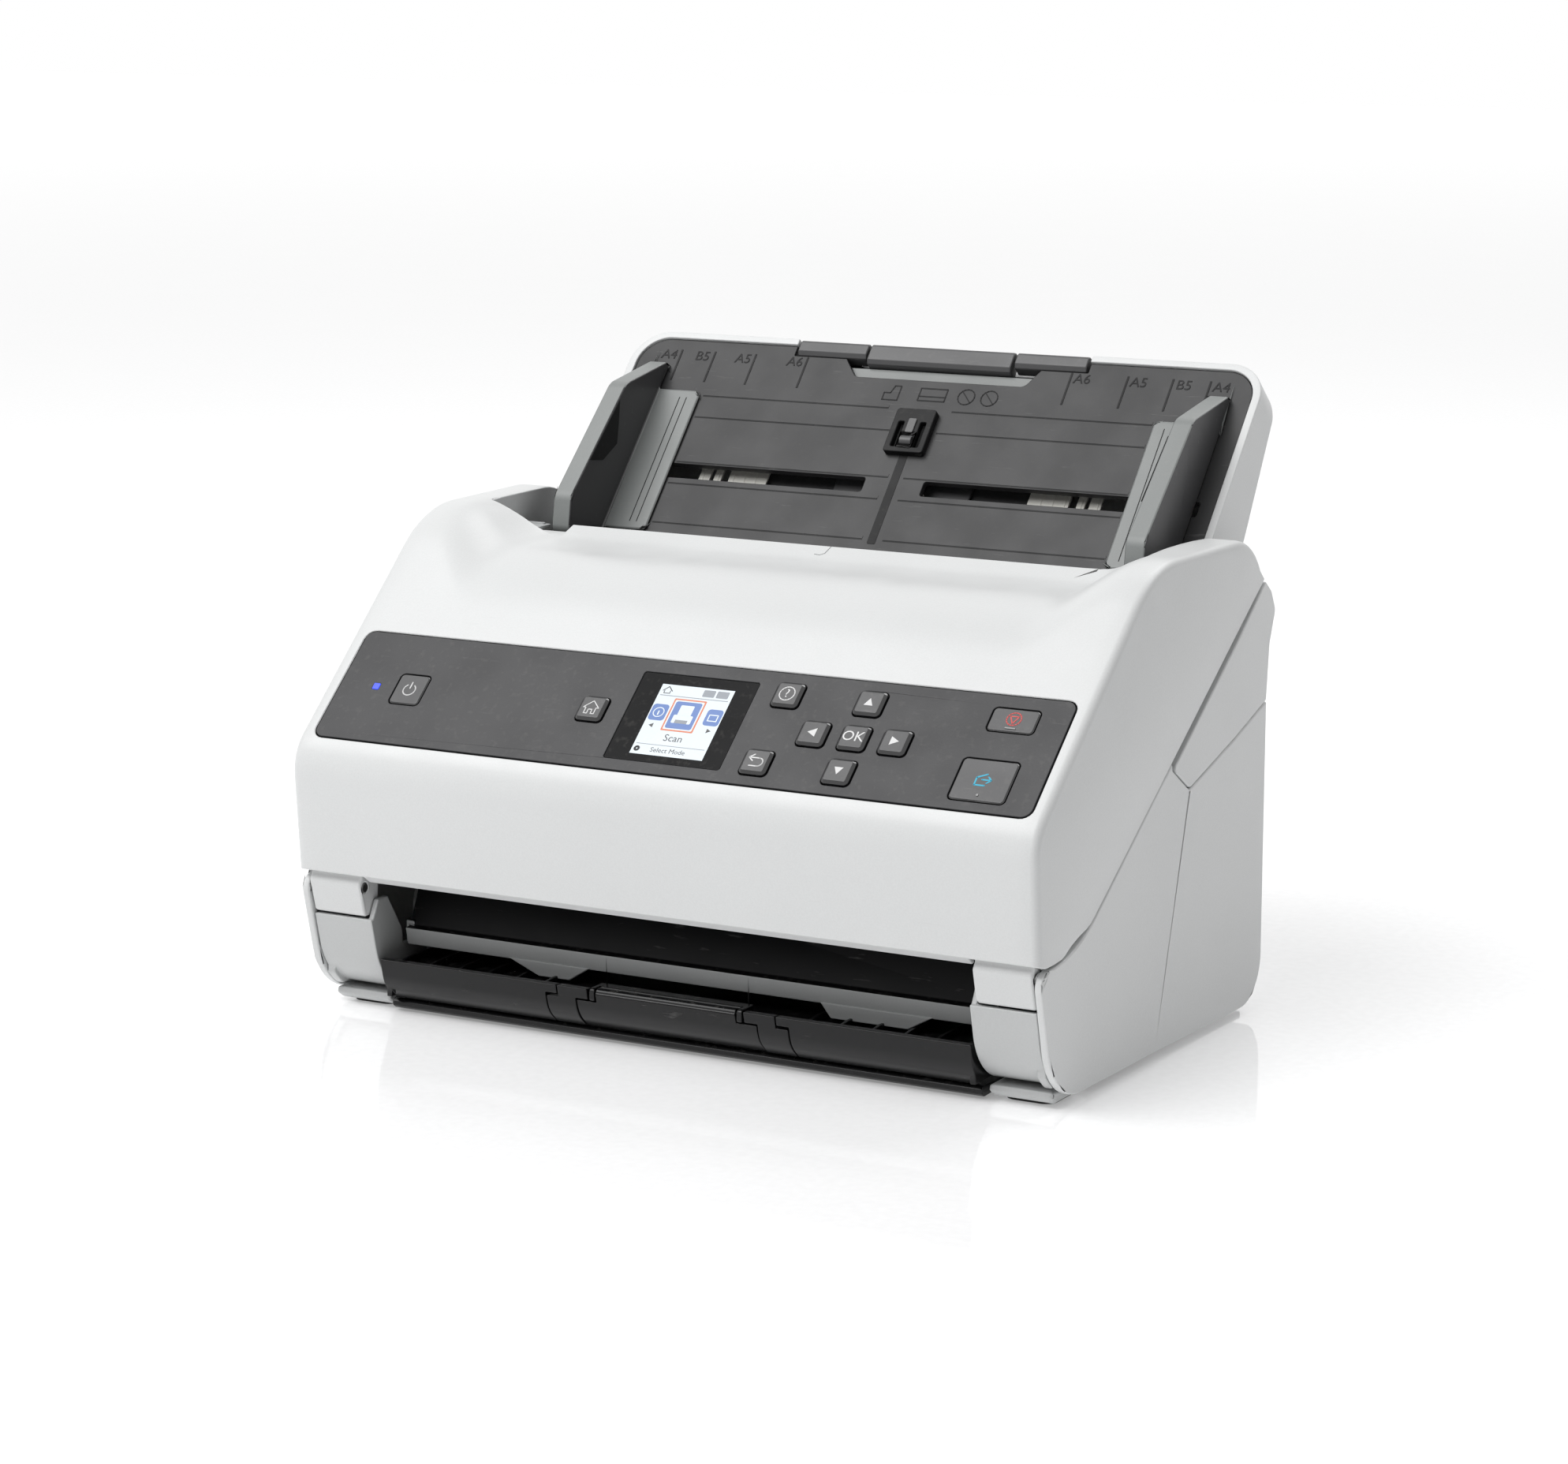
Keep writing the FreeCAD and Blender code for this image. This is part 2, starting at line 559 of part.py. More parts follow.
def rear_sockets():
    """Power inlet with its round bore, and the square data socket with its tongue."""
    inlet = block(DC_WINDOW[0], DC_WINDOW[1], REAR_Y - 13, REAR_Y - 0.3, DC_WINDOW[2], DC_WINDOW[3])
    bore = Part.makeCylinder(3.2, 11, Vector(DC_CENTRE[0], REAR_Y - 10, DC_CENTRE[1]), Vector(0, 1, 0))
    data = block(USB_WINDOW[0], USB_WINDOW[1], REAR_Y - 16, REAR_Y - 0.3, USB_WINDOW[2], USB_WINDOW[3])
    middle = (USB_WINDOW[0] + USB_WINDOW[1]) / 2
    data = data.cut(block(middle - 4.8, middle + 4.8, REAR_Y - 12, REAR_Y + 1, 25.2, 33.8))
    tongue = block(middle - 2.9, middle + 2.9, REAR_Y - 13, REAR_Y - 6, 27.9, 31.1)
    return [inlet.cut(bore), data.fuse(tongue)]


def bottom_pan():
    """Black floor of the base with the rounded lip below the output tray."""
    pan = block(-135.7, 135.7, -60, REAR_Y - 3.2, 1.8, 4.2)
    lip = side_prism([(-60, 1.8), (-86.5, 0.9, 1.5), (-88.8, 2.6, 1.4), (-87.0, 4.6, 1.2), (-60, 4.2)], -111.8, 111.8)
    return pan.fuse(lip).removeSplitter()


def main_board():
    """Upright circuit board on four posts of the rear cover."""
    front = 50.0
    board = block(-66, 92, front, front + 1.6, 38, 108)
    chips = [block(-40, -18, front - 2.0, front, 60, 82), block(12, 26, front - 1.4, front, 70, 84),
             block(44, 70, front - 8.0, front, 44, 52), block(50, 64, front - 6.0, front, 78, 98)]
    posts = [block(x, x + 5, front + 1.6, REAR_Y - 2.2, z, z + 5) for x in (-63, 84) for z in (41, 100)]
    return join([board] + chips + posts)


def feet():
    """Four grey feet: two long ones below the front corners, two below the rear."""
    front = side_prism([(-87.3, 3.4, 0.8), (-86.6, 5.4, 0.6), (-62, 5.4), (-62, 1.4), (-84.5, 1.4, 1.2)], 113.5, 135.6)
    rear = block(100, 130, 30, 50, 1.4, 1.8)
    solids = both_sides(front) + both_sides(rear)
    return solids


def rubber_pads():
    front = block(116, 133, -82, -64, 0, 1.4, 4)
    rear = block(103, 127, 32, 48, 0, 1.4, 4)
    return both_sides(front) + both_sides(rear)


def screws():
    """Six pan-head screws through the floor of the base."""
    solids = []
    for x in (-118, -40, 40, 118):
        for y in (-50, 24):
            head = Part.makeCylinder(3.0, 0.8, Vector(x, y, 1.0))
            solids.append(head.cut(block(x - 2, x + 2, y - 0.4, y + 0.4, 0.9, 1.4)))
    return solids


def hinge_pins():
    pin = rod(114.8, 137.6, *HINGE, PIN_R)
    return both_sides(pin)


# ---- input tray ----
def tray_shell():
    """White hollow back of the input tray, deeper towards the base."""
    low = -66.0
    edge = TRAY_TOP
    side = [(low, 0.8), (edge, 0.8), (edge, -TRAY_DEPTH[0], 6), (-36.0, -TRAY_DEPTH[1], 30), (low, -TRAY_DEPTH[1] + 0.5)]
    face = [(-TRAY_HALF, low - 1), (TRAY_HALF, low - 1), (TRAY_HALF, edge, 14), (-TRAY_HALF, edge, 14)]
    body = side_prism(side, -TRAY_HALF, TRAY_HALF).common(plan_prism(face, -40, 5))
    hollow_side = [(low - 1, 2), (edge, 2), (edge, 2.2 - TRAY_DEPTH[0]), (-36.0, 2.2 - TRAY_DEPTH[1], 28),
                   (low - 1, 2.7 - TRAY_DEPTH[1])]
    rim = TRAY_HALF - 3.0
    hollow_face = [(-rim, low - 2), (rim, low - 2), (rim, edge - 2.6, 11.5), (-rim, edge - 2.6, 11.5)]
    hollow = side_prism(hollow_side, -rim, rim).common(plan_prism(hollow_face, -40, 5))
    slot = block(-58.2, 58.2, 10, edge + 5, -10.4, 5)
    return on_tray(body.cut(hollow).cut(slot))


RACK_ALONG = -38.5          # centre line of the guide slots
PINION_TEETH = 12
PINION_MODULE = 1.5
PINION_R = PINION_TEETH * PINION_MODULE / 2


def tray_plate():
    """Dark face of the input tray with its guide slots, finger recess and lower chute."""
    top = TRAY_TOP - 2.9
    half = TRAY_HALF - 3.3
    plate = plan_prism([(-DECK_HALF, -97), (DECK_HALF, -97), (DECK_HALF, -66), (half, -66), (half, top, 11),
                        (-half, top, 11), (-half, -66), (-DECK_HALF, -66)], -2.5, 0)
    for x0, x1 in ((-116, -11.5), (11.5, 116)):
        plate = plate.cut(block(x0, x1, RACK_ALONG - 3, RACK_ALONG + 3, -3, 1, 1.0))
    recess = plan_prism([(-31, 6.5, 3), (36, 6.5, 3), (47, 25), (-46, 25)], -3, 1)
    plate = plate.cut(recess).cut(block(-58.4, 58.4, 13.8, 30, -3, 1))
    floor = plan_prism([(-33.5, 5.0, 2), (39, 5.0, 2), (43.5, 11.8), (-38.5, 11.8)], -3.5, -2.5)
    plate = plate.fuse(floor)
    roller = block(-30, 30, -84 - 10, -84 + 10, -3, 1, 1.5)
    plate = plate.cut(roller)
    stud = Part.makeCylinder(2.0, 4.0, Vector(0, RACK_ALONG, -6.2))
    plate = plate.fuse(stud)
    return on_tray(plate.removeSplitter())


def guide_fin():
    """Side outline of an edge guide's wall: (along the tray, out of it)."""
    return [(6.0, 0.6), (5.6, 3.0, 1.5), (-16.5, 20.8, 8), (-68.5, 25.6, 6), (-79.0, 19.0, 4), (-80.5, 0.6)]


def edge_guide(side):
    """Left guide for side -1: wall, base plate and the foot through the slot."""
    wall = side_prism([(a, b, *r) for a, b, *r in guide_fin()], GUIDE_X, GUIDE_X + 7.2)
    upper = block(GUIDE_X - 17.5, GUIDE_X + 7.2, -65.0, -4.8, 0.25, 1.25, 2.0)
    lower = block(GUIDE_X - 0.5, GUIDE_X + 3.0, -80.5, -64.0, 0.6, 1.25)
    foot = block(GUIDE_X - 4, GUIDE_X + 4, RACK_ALONG - 2.6, RACK_ALONG + 2.6, -2.9, 0.6)
    guide = join([wall, upper, lower, foot])
    if side < 0:
        guide = mirrored(guide)
    return on_tray(guide)


def rack_teeth(start, end, root):
    """Outline of a row of straight rack teeth, along X, pointing to the pinion at zero."""
    pitch = math.pi * PINION_MODULE
    tip = root - 2.1 * PINION_MODULE
    half_tip = pitch / 4 - 0.9 * PINION_MODULE * math.tan(math.radians(20)) - 0.12
    half_root = pitch / 4 + 1.15 * PINION_MODULE * math.tan(math.radians(20)) - 0.12
    points = [(start, root)]
    first = math.ceil((start + half_root) / pitch - 0.5)
    last = math.floor((end - half_root) / pitch - 0.5)
    for i in range(first, last + 1):
        centre = (i + 0.5) * pitch
        points += [(centre - half_root, root), (centre - half_tip, tip), (centre + half_tip, tip),
                   (centre + half_root, root)]
    points.append((end, root))
    return points


def guide_rack(side):
    """Toothed bar that ties a guide to the pinion. The left one runs above the pinion."""
    root = PINION_R + 1.2 * PINION_MODULE
    back = root + 4.0
    start, end = -86.0, 10.0
    teeth = rack_teeth(start, end, root)
    bar = plan_prism(teeth + [(end, back), (start, back)], -5.6, -2.9)
    arm = plan_prism([(-110, -2.4), (-103, -2.4), (-96, root), (start + 1, root), (start + 1, back), (-100, back),
                      (-110, 3.0)], -5.6, -2.9)
    rack = bar.fuse(arm).removeSplitter()
    if side > 0:
        rack.rotate(Vector(0, 0, 0), Vector(0, 0, 1), 180)
    rack.translate(Vector(0, RACK_ALONG, 0))
    return on_tray(rack)


def guide_pinion():
    """Pinion between the two racks, turning on a stud below the tray plate."""
    face = Part.Face(gear_wire(PINION_TEETH, PINION_MODULE, 0))
    face.rotate(Vector(0, 0, 0), Vector(0, 1, 0), 90)
    wheel = face.extrude(Vector(0, 0, 2.7))
    wheel.rotate(Vector(0, 0, 0), Vector(0, 0, 1), PINION_TURN)
    wheel.translate(Vector(0, RACK_ALONG, -5.6))
    wheel = wheel.cut(Part.makeCylinder(2.0 + RUNNING, 5, Vector(0, RACK_ALONG, -7)))
    return on_tray(wheel)


PINION_TURN = 0.0


def handle_bar(x0, x1, low):
    """Grey finger block at the top of a tray extension."""
    return side_prism([(low, -5.0), (low, -0.4, 1), (low + 1.6, 0.8, 1), (20.6, 0.8, 1.5), (20.6, -5.0)], x0, x1)


def tray_extension():
    """First pull-out of the input tray: a panel with a finger block at each side."""
    panel = block(-56, 56, -62, 16.5, -10.0, -8.5)
    ends = [handle_bar(29.4, 57.4, 14.2), handle_bar(-57.4, -29.4, 14.2)]
    risers = [block(x, x + 20, 16.3, 20.4, -10.0, -4.5) for x in (35, -55)]
    return on_tray(join([panel] + ends + risers))


def tray_extension_tip():
    """Second pull-out, in the middle of the first."""
    panel = block(-27, 27, -60, 16.3, -7.9, -6.6)
    riser = block(-20, 20, 16.0, 20.4, -7.9, -4.5)
    return on_tray(join([panel, riser, handle_bar(-28.6, 28.6, 12.2)]))


# ---- output tray ----
TRAY_BACK = 30.0


def tray_face(y_shift=0.0, top=19.7):
    """Curved front face of the output trays, top to bottom."""
    return [(-95.8 + y_shift, top), (-93.6 + y_shift, 10.0, 12), (-88.2 + y_shift, 5.2), (-85.8 + y_shift, 6.6),
            (-91.0 + y_shift, 11.0, 10), (-92.8 + y_shift, top)]


def output_tray():
    """First stage: full-width drawer with a notch for the second stage."""
    plate = block(-111.4, 111.4, -93.2, TRAY_BACK, 14.2, 16.2)
    front = side_prism(tray_face(), -111.4, 111.4)
    sides = block(109.4, 111.4, -92.0, TRAY_BACK, 6.0, 14.4)
    notches = [block(-46.0, 46.0, -100, -86.6, 0, 16.6), block(-41.5, 41.5, -100, -86.6, 16, 25),
               block(-46.0, 46.0, -100, -85.4, 0, 14.1)]
    shape = join([plate, front] + both_sides(sides))
    for notch in notches:
        shape = shape.cut(notch)
    runners = block(43.2, 45.6, -85, TRAY_BACK, 9.4, 14.4)
    return join([shape] + both_sides(runners))


def output_extension():
    """Second stage, below the first, with its part of the front face."""
    plate = block(-42.6, 42.6, -88.0, 12.0, 10.4, 12.4)
    front = side_prism(tray_face(), -45.6, 45.6)
    front = front.cut(block(41.1, 50, -100, -80, 15.6, 25)).cut(block(-50, -41.1, -100, -80, 15.6, 25))
    link = block(-42.6, 42.6, -92.0, -87.0, 10.4, 13.0)
    shape = join([plate, front, link])
    shape = shape.cut(block(-34.4, 34.4, -100, -86.8, 0, 16.0))
    shape = shape.cut(block(-29.6, 29.6, -100, -86.8, 15, 25))
    shape = shape.cut(block(-34.4, 34.4, -100, -85.4, 0, 10.3))
    runners = block(32.8, 34.8, -85.0, 12.0, 6.2, 10.6)
    return join([shape] + both_sides(runners))


STOPPER_AXIS = (-93.6, 18.4)


def output_extension_tip():
    """Third stage, with the ears that carry the stopper."""
    plate = block(-32.2, 32.2, -84.0, -4.0, 6.8, 8.7)
    riser = side_prism([(-84.0, 6.8), (-86.2, 6.8), (-90.9, 11.6, 10), (-91.4, 17.0), (-91.4, 19.9, 0.6),
                        (-87.2, 20.3, 0.6), (-87.2, 8.7), (-84.0, 8.7)], -28.8, 28.8)
    ears = side_prism([(-90.5, 15.8), (-95.3, 15.8, 0.8), (-95.3, 20.1, 1.4), (-87.2, 20.1), (-87.2, 15.8)],
                      26.9, 28.8)
    shape = join([plate, riser] + both_sides(ears))
    return shape.cut(rod(-29.5, 29.5, *STOPPER_AXIS, 0.9 + RUNNING))


def output_stopper():
    """Front plate of the third stage; it turns up to stop the sheets."""
    y, z = STOPPER_AXIS
    plate = side_prism([(y - 1.9, z), (-93.4, 10.2, 12), (-88.0, 5.4), (-86.9, 6.4), (-91.9, 11.2, 10),
                        (y + 1.2, z)], -34.0, 34.0)
    plate = plate.cut(block(26.4, 40, -100, -80, 15.4, 25)).cut(block(-40, -26.4, -100, -80, 15.4, 25))
    barrel = rod(-26.4, 26.4, y, z, 1.7)
    pins = rod(-28.6, 28.6, y, z, 0.9)
    return join([plate, barrel, pins])


# ---- cover furniture ----
KEY = 9.8
BUTTONS = {
    "power_button": (-105.5, 0.0, 11.6, 12.4),
    "home_button": (-33.5, 0.0, KEY, KEY),
    "help_button": (34.0, 13.6, KEY, KEY),
    "back_button": (34.0, -13.8, KEY, KEY),
    "left_button": (49.0, -0.4, KEY, KEY),
    "ok_button": (63.7, -0.4, KEY, KEY),
    "right_button": (78.3, -0.4, KEY, KEY),
    "up_button": (63.8, 13.6, KEY, KEY),
    "down_button": (63.8, -14.0, KEY, KEY),
    "stop_button": (114.5, 13.1, 16.2, 9.2),
    "start_button": (113.3, -10.8, 19.4, 16.2),
}
LCD = (0.3, -0.3, 43.4, 36.0)
FLUSH_KEYS = ("power_button", "stop_button", "start_button")


def control_panel():
    """Dark inlay with a hole for each key, the display's seat and the lamp's hole."""
    plate = block(-PANEL_HALF[0], PANEL_HALF[0], -PANEL_HALF[1], PANEL_HALF[1], -PANEL_THICK, 0, 3.5)
    for u, v, width, height in BUTTONS.values():
        plate = plate.cut(centred(u, v, width + 0.7, height + 0.7, -5, 5, 1.9))
    u, v, width, height = LCD
    plate = plate.cut(centred(u, v, width, height, -1.2, 5, 1.0))
    plate = plate.cut(centred(u, v, width - 3, height - 3, -5, 5, 1.0))
    plate = plate.cut(centred(-119.0, 0.0, 2.6, 2.6, -5, 5, 0.4))
    return on_panel(plate)


def centred(u, v, width, height, low, high, radius=0.0):
    return block(u - width / 2, u + width / 2, v - height / 2, v + height / 2, low, high, radius)


def key_button(name):
    """A key: cap through the panel, and a flange that keeps it behind the panel."""
    u, v, width, height = BUTTONS[name]
    top = 0.2 if name in FLUSH_KEYS else 1.3
    cap = centred(u, v, width, height, -3.0, top, 1.6)
    flange = centred(u, v, width + 2.4, height + 2.4, -3.4, -2.3, 1.6)
    stem = Part.makeCylinder(1.6, 1.2, Vector(u, v, -4.6))
    cap = join([cap, flange, stem])
    return on_panel(cap)


def lcd_window():
    u, v, width, height = LCD
    return on_panel(centred(u, v, width - 0.4, height - 0.4, -1.2, -0.25, 0.8))


def panel_board():
    """Circuit board behind the keys, with the display module and a switch under each key."""
    board = block(-126, 124, -17.0, 17.0, -8.6, -7.0, 1.0)
    parts = [centred(u, v, 5.0, 5.0, -7.0, -5.6) for u, v, width, height in BUTTONS.values()]
    u, v, width, height = LCD
    parts.append(centred(u, v, width - 4, height - 6, -7.0, -2.0))
    return on_panel(join([board] + parts))


def hinge_blocks():
    """Two arms under the cover's front corners that turn on the hinge pins."""
    line = [(-102.0, 46.2), (-99.2, 35.4), (-98.3, 34.4), (-91, 34.4, 3), (-90, 62), (-100.6, 62), (-100.6, 48.2)]
    arm = side_prism(line, 114.8, 135.4).cut(rod(113, 140, *HINGE, PIN_R + RUNNING))
    return both_sides(arm)


def cover_lever():
    """Cover-open lever in the right side wall, with its catch arm inside."""
    line = [(-9.6, 94.6, 2), (2.6, 86.5, 3), (61.6, 106.0), (63.6, 125.0, 6), (68.0, 136.0, 4), (64.2, 142.8, 4),
            (59.3, PARTING_REAR[1] - 1.4)]
    grip = side_prism(line, 134.2, 150).common(plan_prism(plan_outline(rear=80.0), 60, 160))
    arm = side_prism([(4, 92, 2), (24, 98, 2), (18, 116, 2), (8, 116, 2)], 131.6, 134.4)
    return grip.fuse(arm).removeSplitter()


SELECTOR_SLOT = (-123.3, -118.7, 9.2, 30)


def feed_selector():
    """Flat two-position slide in the recess at the left of the feed slot."""
    plate = block(-126.5, -115.5, 8.0, 20.5, 151.25, 152.4, 1.0)
    rib = block(-125.0, -117.0, 17.6, 19.4, 152.4, 153.0, 0.8)
    stem = block(-123.0, -119.0, 9.6, 12.6, 146.4, 151.25)
    catch = block(-125.5, -116.5, 8.6, 13.6, 145.2, 146.8)
    return join([plate, rib, stem, catch])


def main():
    os.makedirs("parts", exist_ok=True)
    save("cover_shell", cover_shell())
    save("cover_frame", cover_frame())
    save("control_panel", control_panel())
    save("lcd_window", lcd_window())
    save("panel_board", panel_board())
    save("hinge_blocks", hinge_blocks())
    save("upper_sensor", sensor(UPPER_SENSOR_T, 5.0, 18.0))
    save("upper_glass", sensor_glass(UPPER_SENSOR_T, 2.2, 4.9))
    save("separation_roller", separation_roller())
    save("eject_idlers", eject_idlers())
    for name in BUTTONS:
        save(name, key_button(name))
    save("cover_lever", cover_lever())
    save("feed_selector", feed_selector())
    save("base_shell", base_shell())
    save("front_pillars", front_pillars())
    save("rear_panel", rear_panel())
    save("rear_sockets", rear_sockets())
    save("bottom_pan", bottom_pan())
    save("lower_deck", lower_deck())
    save("side_frames", side_frames())
    save("hinge_pins", hinge_pins())
    save("lower_sensor", sensor(LOWER_SENSOR_T, -17.0, -3.4))
    save("lower_glass", sensor_glass(LOWER_SENSOR_T, -3.2, -0.1))
    save("feed_roller", feed_roller())
    save("feed_tyres", tyres(FEED_AXIS, (-12.5, 12.5), 8.0, ROLLER_R, 6.0))
    save("pickup_roller", pickup_roller())
    save("idler_gear", idler_gear())
    save("eject_roller", eject_roller())
    save("eject_tyres", tyres(EJECT_AXIS, EJECT_TYRES, 6.5, EJECT_R, 5.0))
    save("motor_pulley", motor_pulley())
    save("drive_motor", drive_motor())
    save("drive_belt", drive_belt())
    save("main_board", main_board())
    save("feet", feet())
    save("rubber_pads", rubber_pads())
    save("screws", screws())
    save("tray_shell", tray_shell())
    save("tray_plate", tray_plate())
    save("left_guide", edge_guide(-1))
    save("right_guide", edge_guide(1))
    save("left_rack", guide_rack(-1))
    save("right_rack", guide_rack(1))
    save("guide_pinion", guide_pinion())
    save("tray_extension", tray_extension())
    save("tray_extension_tip", tray_extension_tip())
    save("output_tray", output_tray())
    save("output_extension", output_extension())
    save("output_extension_tip", output_extension_tip())
    save("output_stopper", output_stopper())


main()
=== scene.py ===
# %% [markdown]
# # A sheet-fed document scanner
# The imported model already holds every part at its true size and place. This lesson dresses it: the white
# shells become smooth moulded skins, the dark tray gets its print and ridges, and the panel gets its keys
# and its lit display. Everything is in metres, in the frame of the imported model.

# %% Load the frame
import json
import math

import bmesh
import bpy
from mathutils import Matrix, Vector

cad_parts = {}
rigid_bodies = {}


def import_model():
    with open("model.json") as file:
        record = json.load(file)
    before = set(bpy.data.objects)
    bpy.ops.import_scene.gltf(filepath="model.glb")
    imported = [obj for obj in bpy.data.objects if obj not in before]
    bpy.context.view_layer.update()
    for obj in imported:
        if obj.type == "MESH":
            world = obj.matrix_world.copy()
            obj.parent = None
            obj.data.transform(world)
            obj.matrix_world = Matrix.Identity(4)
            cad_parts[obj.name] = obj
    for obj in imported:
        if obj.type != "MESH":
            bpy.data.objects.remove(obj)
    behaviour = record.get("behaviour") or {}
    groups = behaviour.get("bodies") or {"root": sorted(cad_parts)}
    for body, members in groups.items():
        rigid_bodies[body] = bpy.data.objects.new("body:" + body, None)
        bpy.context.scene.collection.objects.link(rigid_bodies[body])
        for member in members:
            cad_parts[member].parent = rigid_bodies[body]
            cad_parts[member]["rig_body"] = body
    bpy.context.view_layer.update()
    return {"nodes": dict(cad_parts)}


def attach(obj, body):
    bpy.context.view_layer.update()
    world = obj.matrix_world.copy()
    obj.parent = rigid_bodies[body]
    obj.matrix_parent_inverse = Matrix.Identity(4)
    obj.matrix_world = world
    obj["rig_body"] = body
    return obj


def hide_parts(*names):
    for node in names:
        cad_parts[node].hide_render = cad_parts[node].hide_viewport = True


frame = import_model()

nodes = frame["nodes"]
MM = 0.001

# %% [markdown]
# ## Three slopes
# The input tray and the control panel are flat parts on a slope. It is easiest to draw their details flat,
# as (across, up the slope, out of it) in millimetres, and to let one matrix put them in place. SIDE and ALONG
# turn an outline on edge: SIDE reads it as (y, z), and ALONG as (up the tray, out of it).

# %% The slopes' matrices
FLAT = Matrix.Scale(MM, 4)


def slope(y, z, degrees):
    """Turns flat millimetres into the frame, on a slope through (0, y, z)."""
    return FLAT @ Matrix.Translation((0, y, z)) @ Matrix.Rotation(math.radians(degrees), 4, "X")


TRAY = slope(85.3, 197.8, 49.0)
PANEL = slope(-83.9, 110.5, 41.64)
PLAN = FLAT
TURNED = Matrix(((0, 0, 1, 0), (1, 0, 0, 0), (0, 1, 0, 0), (0, 0, 0, 1)))
SIDE = FLAT @ TURNED
ALONG = TRAY @ TURNED
UPRIGHT = FLAT @ Matrix.Rotation(math.radians(90), 4, "X")
print("panel normal:", [round(c, 3) for c in PANEL.to_3x3() @ Vector((0, 0, 1000))])

# %% [markdown]
# ## Shared surface effects
# Moulded plastic is never one flat colour. A mould leaves a fine grain, the resin varies a little over a
# hand's width, and handling leaves faint scuffs and a little dust on faces that look up. Each effect is a
# node group with named inputs, so every material can use it with its own values.

# %% Node group: moulded grain
def new_group(name, inputs, outputs):
    """An empty shader node group with float or colour sockets."""
    group = bpy.data.node_groups.new(name, "ShaderNodeTree")
    for label, kind, value in inputs:
        socket = group.interface.new_socket(name=label, in_out="INPUT", socket_type=kind)
        socket.default_value = value
    for label, kind in outputs:
        group.interface.new_socket(name=label, in_out="OUTPUT", socket_type=kind)
    start = group.nodes.new("NodeGroupInput")
    end = group.nodes.new("NodeGroupOutput")
    start.location = (-900, 0)
    end.location = (700, 0)
    return group, start, end


def noise(tree, vector, scale, detail=2.0, stretch=None):
    """A Noise Texture on the given vector; scale may be a number or a socket."""
    if stretch is not None:
        mapping = tree.nodes.new("ShaderNodeMapping")
        mapping.inputs["Scale"].default_value = stretch
        tree.links.new(vector, mapping.inputs["Vector"])
        vector = mapping.outputs["Vector"]
    texture = tree.nodes.new("ShaderNodeTexNoise")
    texture.inputs["Detail"].default_value = detail
    tree.links.new(vector, texture.inputs["Vector"])
    if isinstance(scale, (int, float)):
        texture.inputs["Scale"].default_value = scale
    else:
        tree.links.new(scale, texture.inputs["Scale"])
    return texture.outputs["Fac"]


def spread(tree, value, low, high, to_low=0.0, to_high=1.0):
    """Maps low..high to to_low..to_high, clamped."""
    node = tree.nodes.new("ShaderNodeMapRange")
    tree.links.new(value, node.inputs["Value"])
    for label, amount in (("From Min", low), ("From Max", high), ("To Min", to_low), ("To Max", to_high)):
        if isinstance(amount, (int, float)):
            node.inputs[label].default_value = amount
        else:
            tree.links.new(amount, node.inputs[label])
    return node.outputs["Result"]


def calc(tree, operation, first, second):
    node = tree.nodes.new("ShaderNodeMath")
    node.operation = operation
    for socket, amount in zip(node.inputs, (first, second)):
        if isinstance(amount, (int, float)):
            socket.default_value = amount
        else:
            tree.links.new(amount, socket)
    return node.outputs["Value"]


def mix_colour(tree, amount, first, second):
    node = tree.nodes.new("ShaderNodeMix")
    node.data_type = "RGBA"
    for socket, value in ((node.inputs[0], amount), (node.inputs[6], first), (node.inputs[7], second)):
        if isinstance(value, bpy.types.NodeSocket):
            tree.links.new(value, socket)
        else:
            socket.default_value = value
    return node.outputs[2]


grain, g_in, g_out = new_group(
    "moulded grain",
    [("Colour", "NodeSocketColor", (0.8, 0.8, 0.8, 1)), ("Shade", "NodeSocketFloat", 0.04),
     ("Roughness", "NodeSocketFloat", 0.4), ("Fineness", "NodeSocketFloat", 1800.0)],
    [("Colour", "NodeSocketColor"), ("Roughness", "NodeSocketFloat"), ("Height", "NodeSocketFloat")])
place = grain.nodes.new("ShaderNodeTexCoord").outputs["Object"]
broad = noise(grain, place, 14.0)
fine = noise(grain, place, g_in.outputs["Fineness"], 3.0)
darker = calc(grain, "SUBTRACT", 1.0, g_in.outputs["Shade"])
tone = spread(grain, broad, 0.3, 0.7, darker, 1.0)
speck = spread(grain, fine, 0.35, 0.65, 0.965, 1.0)
shade = calc(grain, "MULTIPLY", tone, speck)
black = mix_colour(grain, shade, (0, 0, 0, 1), g_in.outputs["Colour"])
grain.links.new(black, g_out.inputs["Colour"])
rub = spread(grain, noise(grain, place, 60.0), 0.35, 0.65, 0.93, 1.08)
grain.links.new(calc(grain, "MULTIPLY", g_in.outputs["Roughness"], rub), g_out.inputs["Roughness"])
grain.links.new(fine, g_out.inputs["Height"])

# %% Node group: handling
# Scuffs are a stretched noise with only its peaks kept, and dust is a soft noise on faces that look up.
handling, h_in, h_out = new_group(
    "handling",
    [("Colour", "NodeSocketColor", (0.8, 0.8, 0.8, 1)), ("Roughness", "NodeSocketFloat", 0.4),
     ("Scuffs", "NodeSocketFloat", 0.2), ("Dust", "NodeSocketFloat", 0.1)],
    [("Colour", "NodeSocketColor"), ("Roughness", "NodeSocketFloat")])
place = handling.nodes.new("ShaderNodeTexCoord").outputs["Object"]
hair = noise(handling, place, 90.0, 6.0, stretch=(1.0, 9.0, 5.0))
scuff = calc(handling, "MULTIPLY", spread(handling, hair, 0.66, 0.76), h_in.outputs["Scuffs"])
normal = handling.nodes.new("ShaderNodeNewGeometry").outputs["Normal"]
parts = handling.nodes.new("ShaderNodeSeparateXYZ")
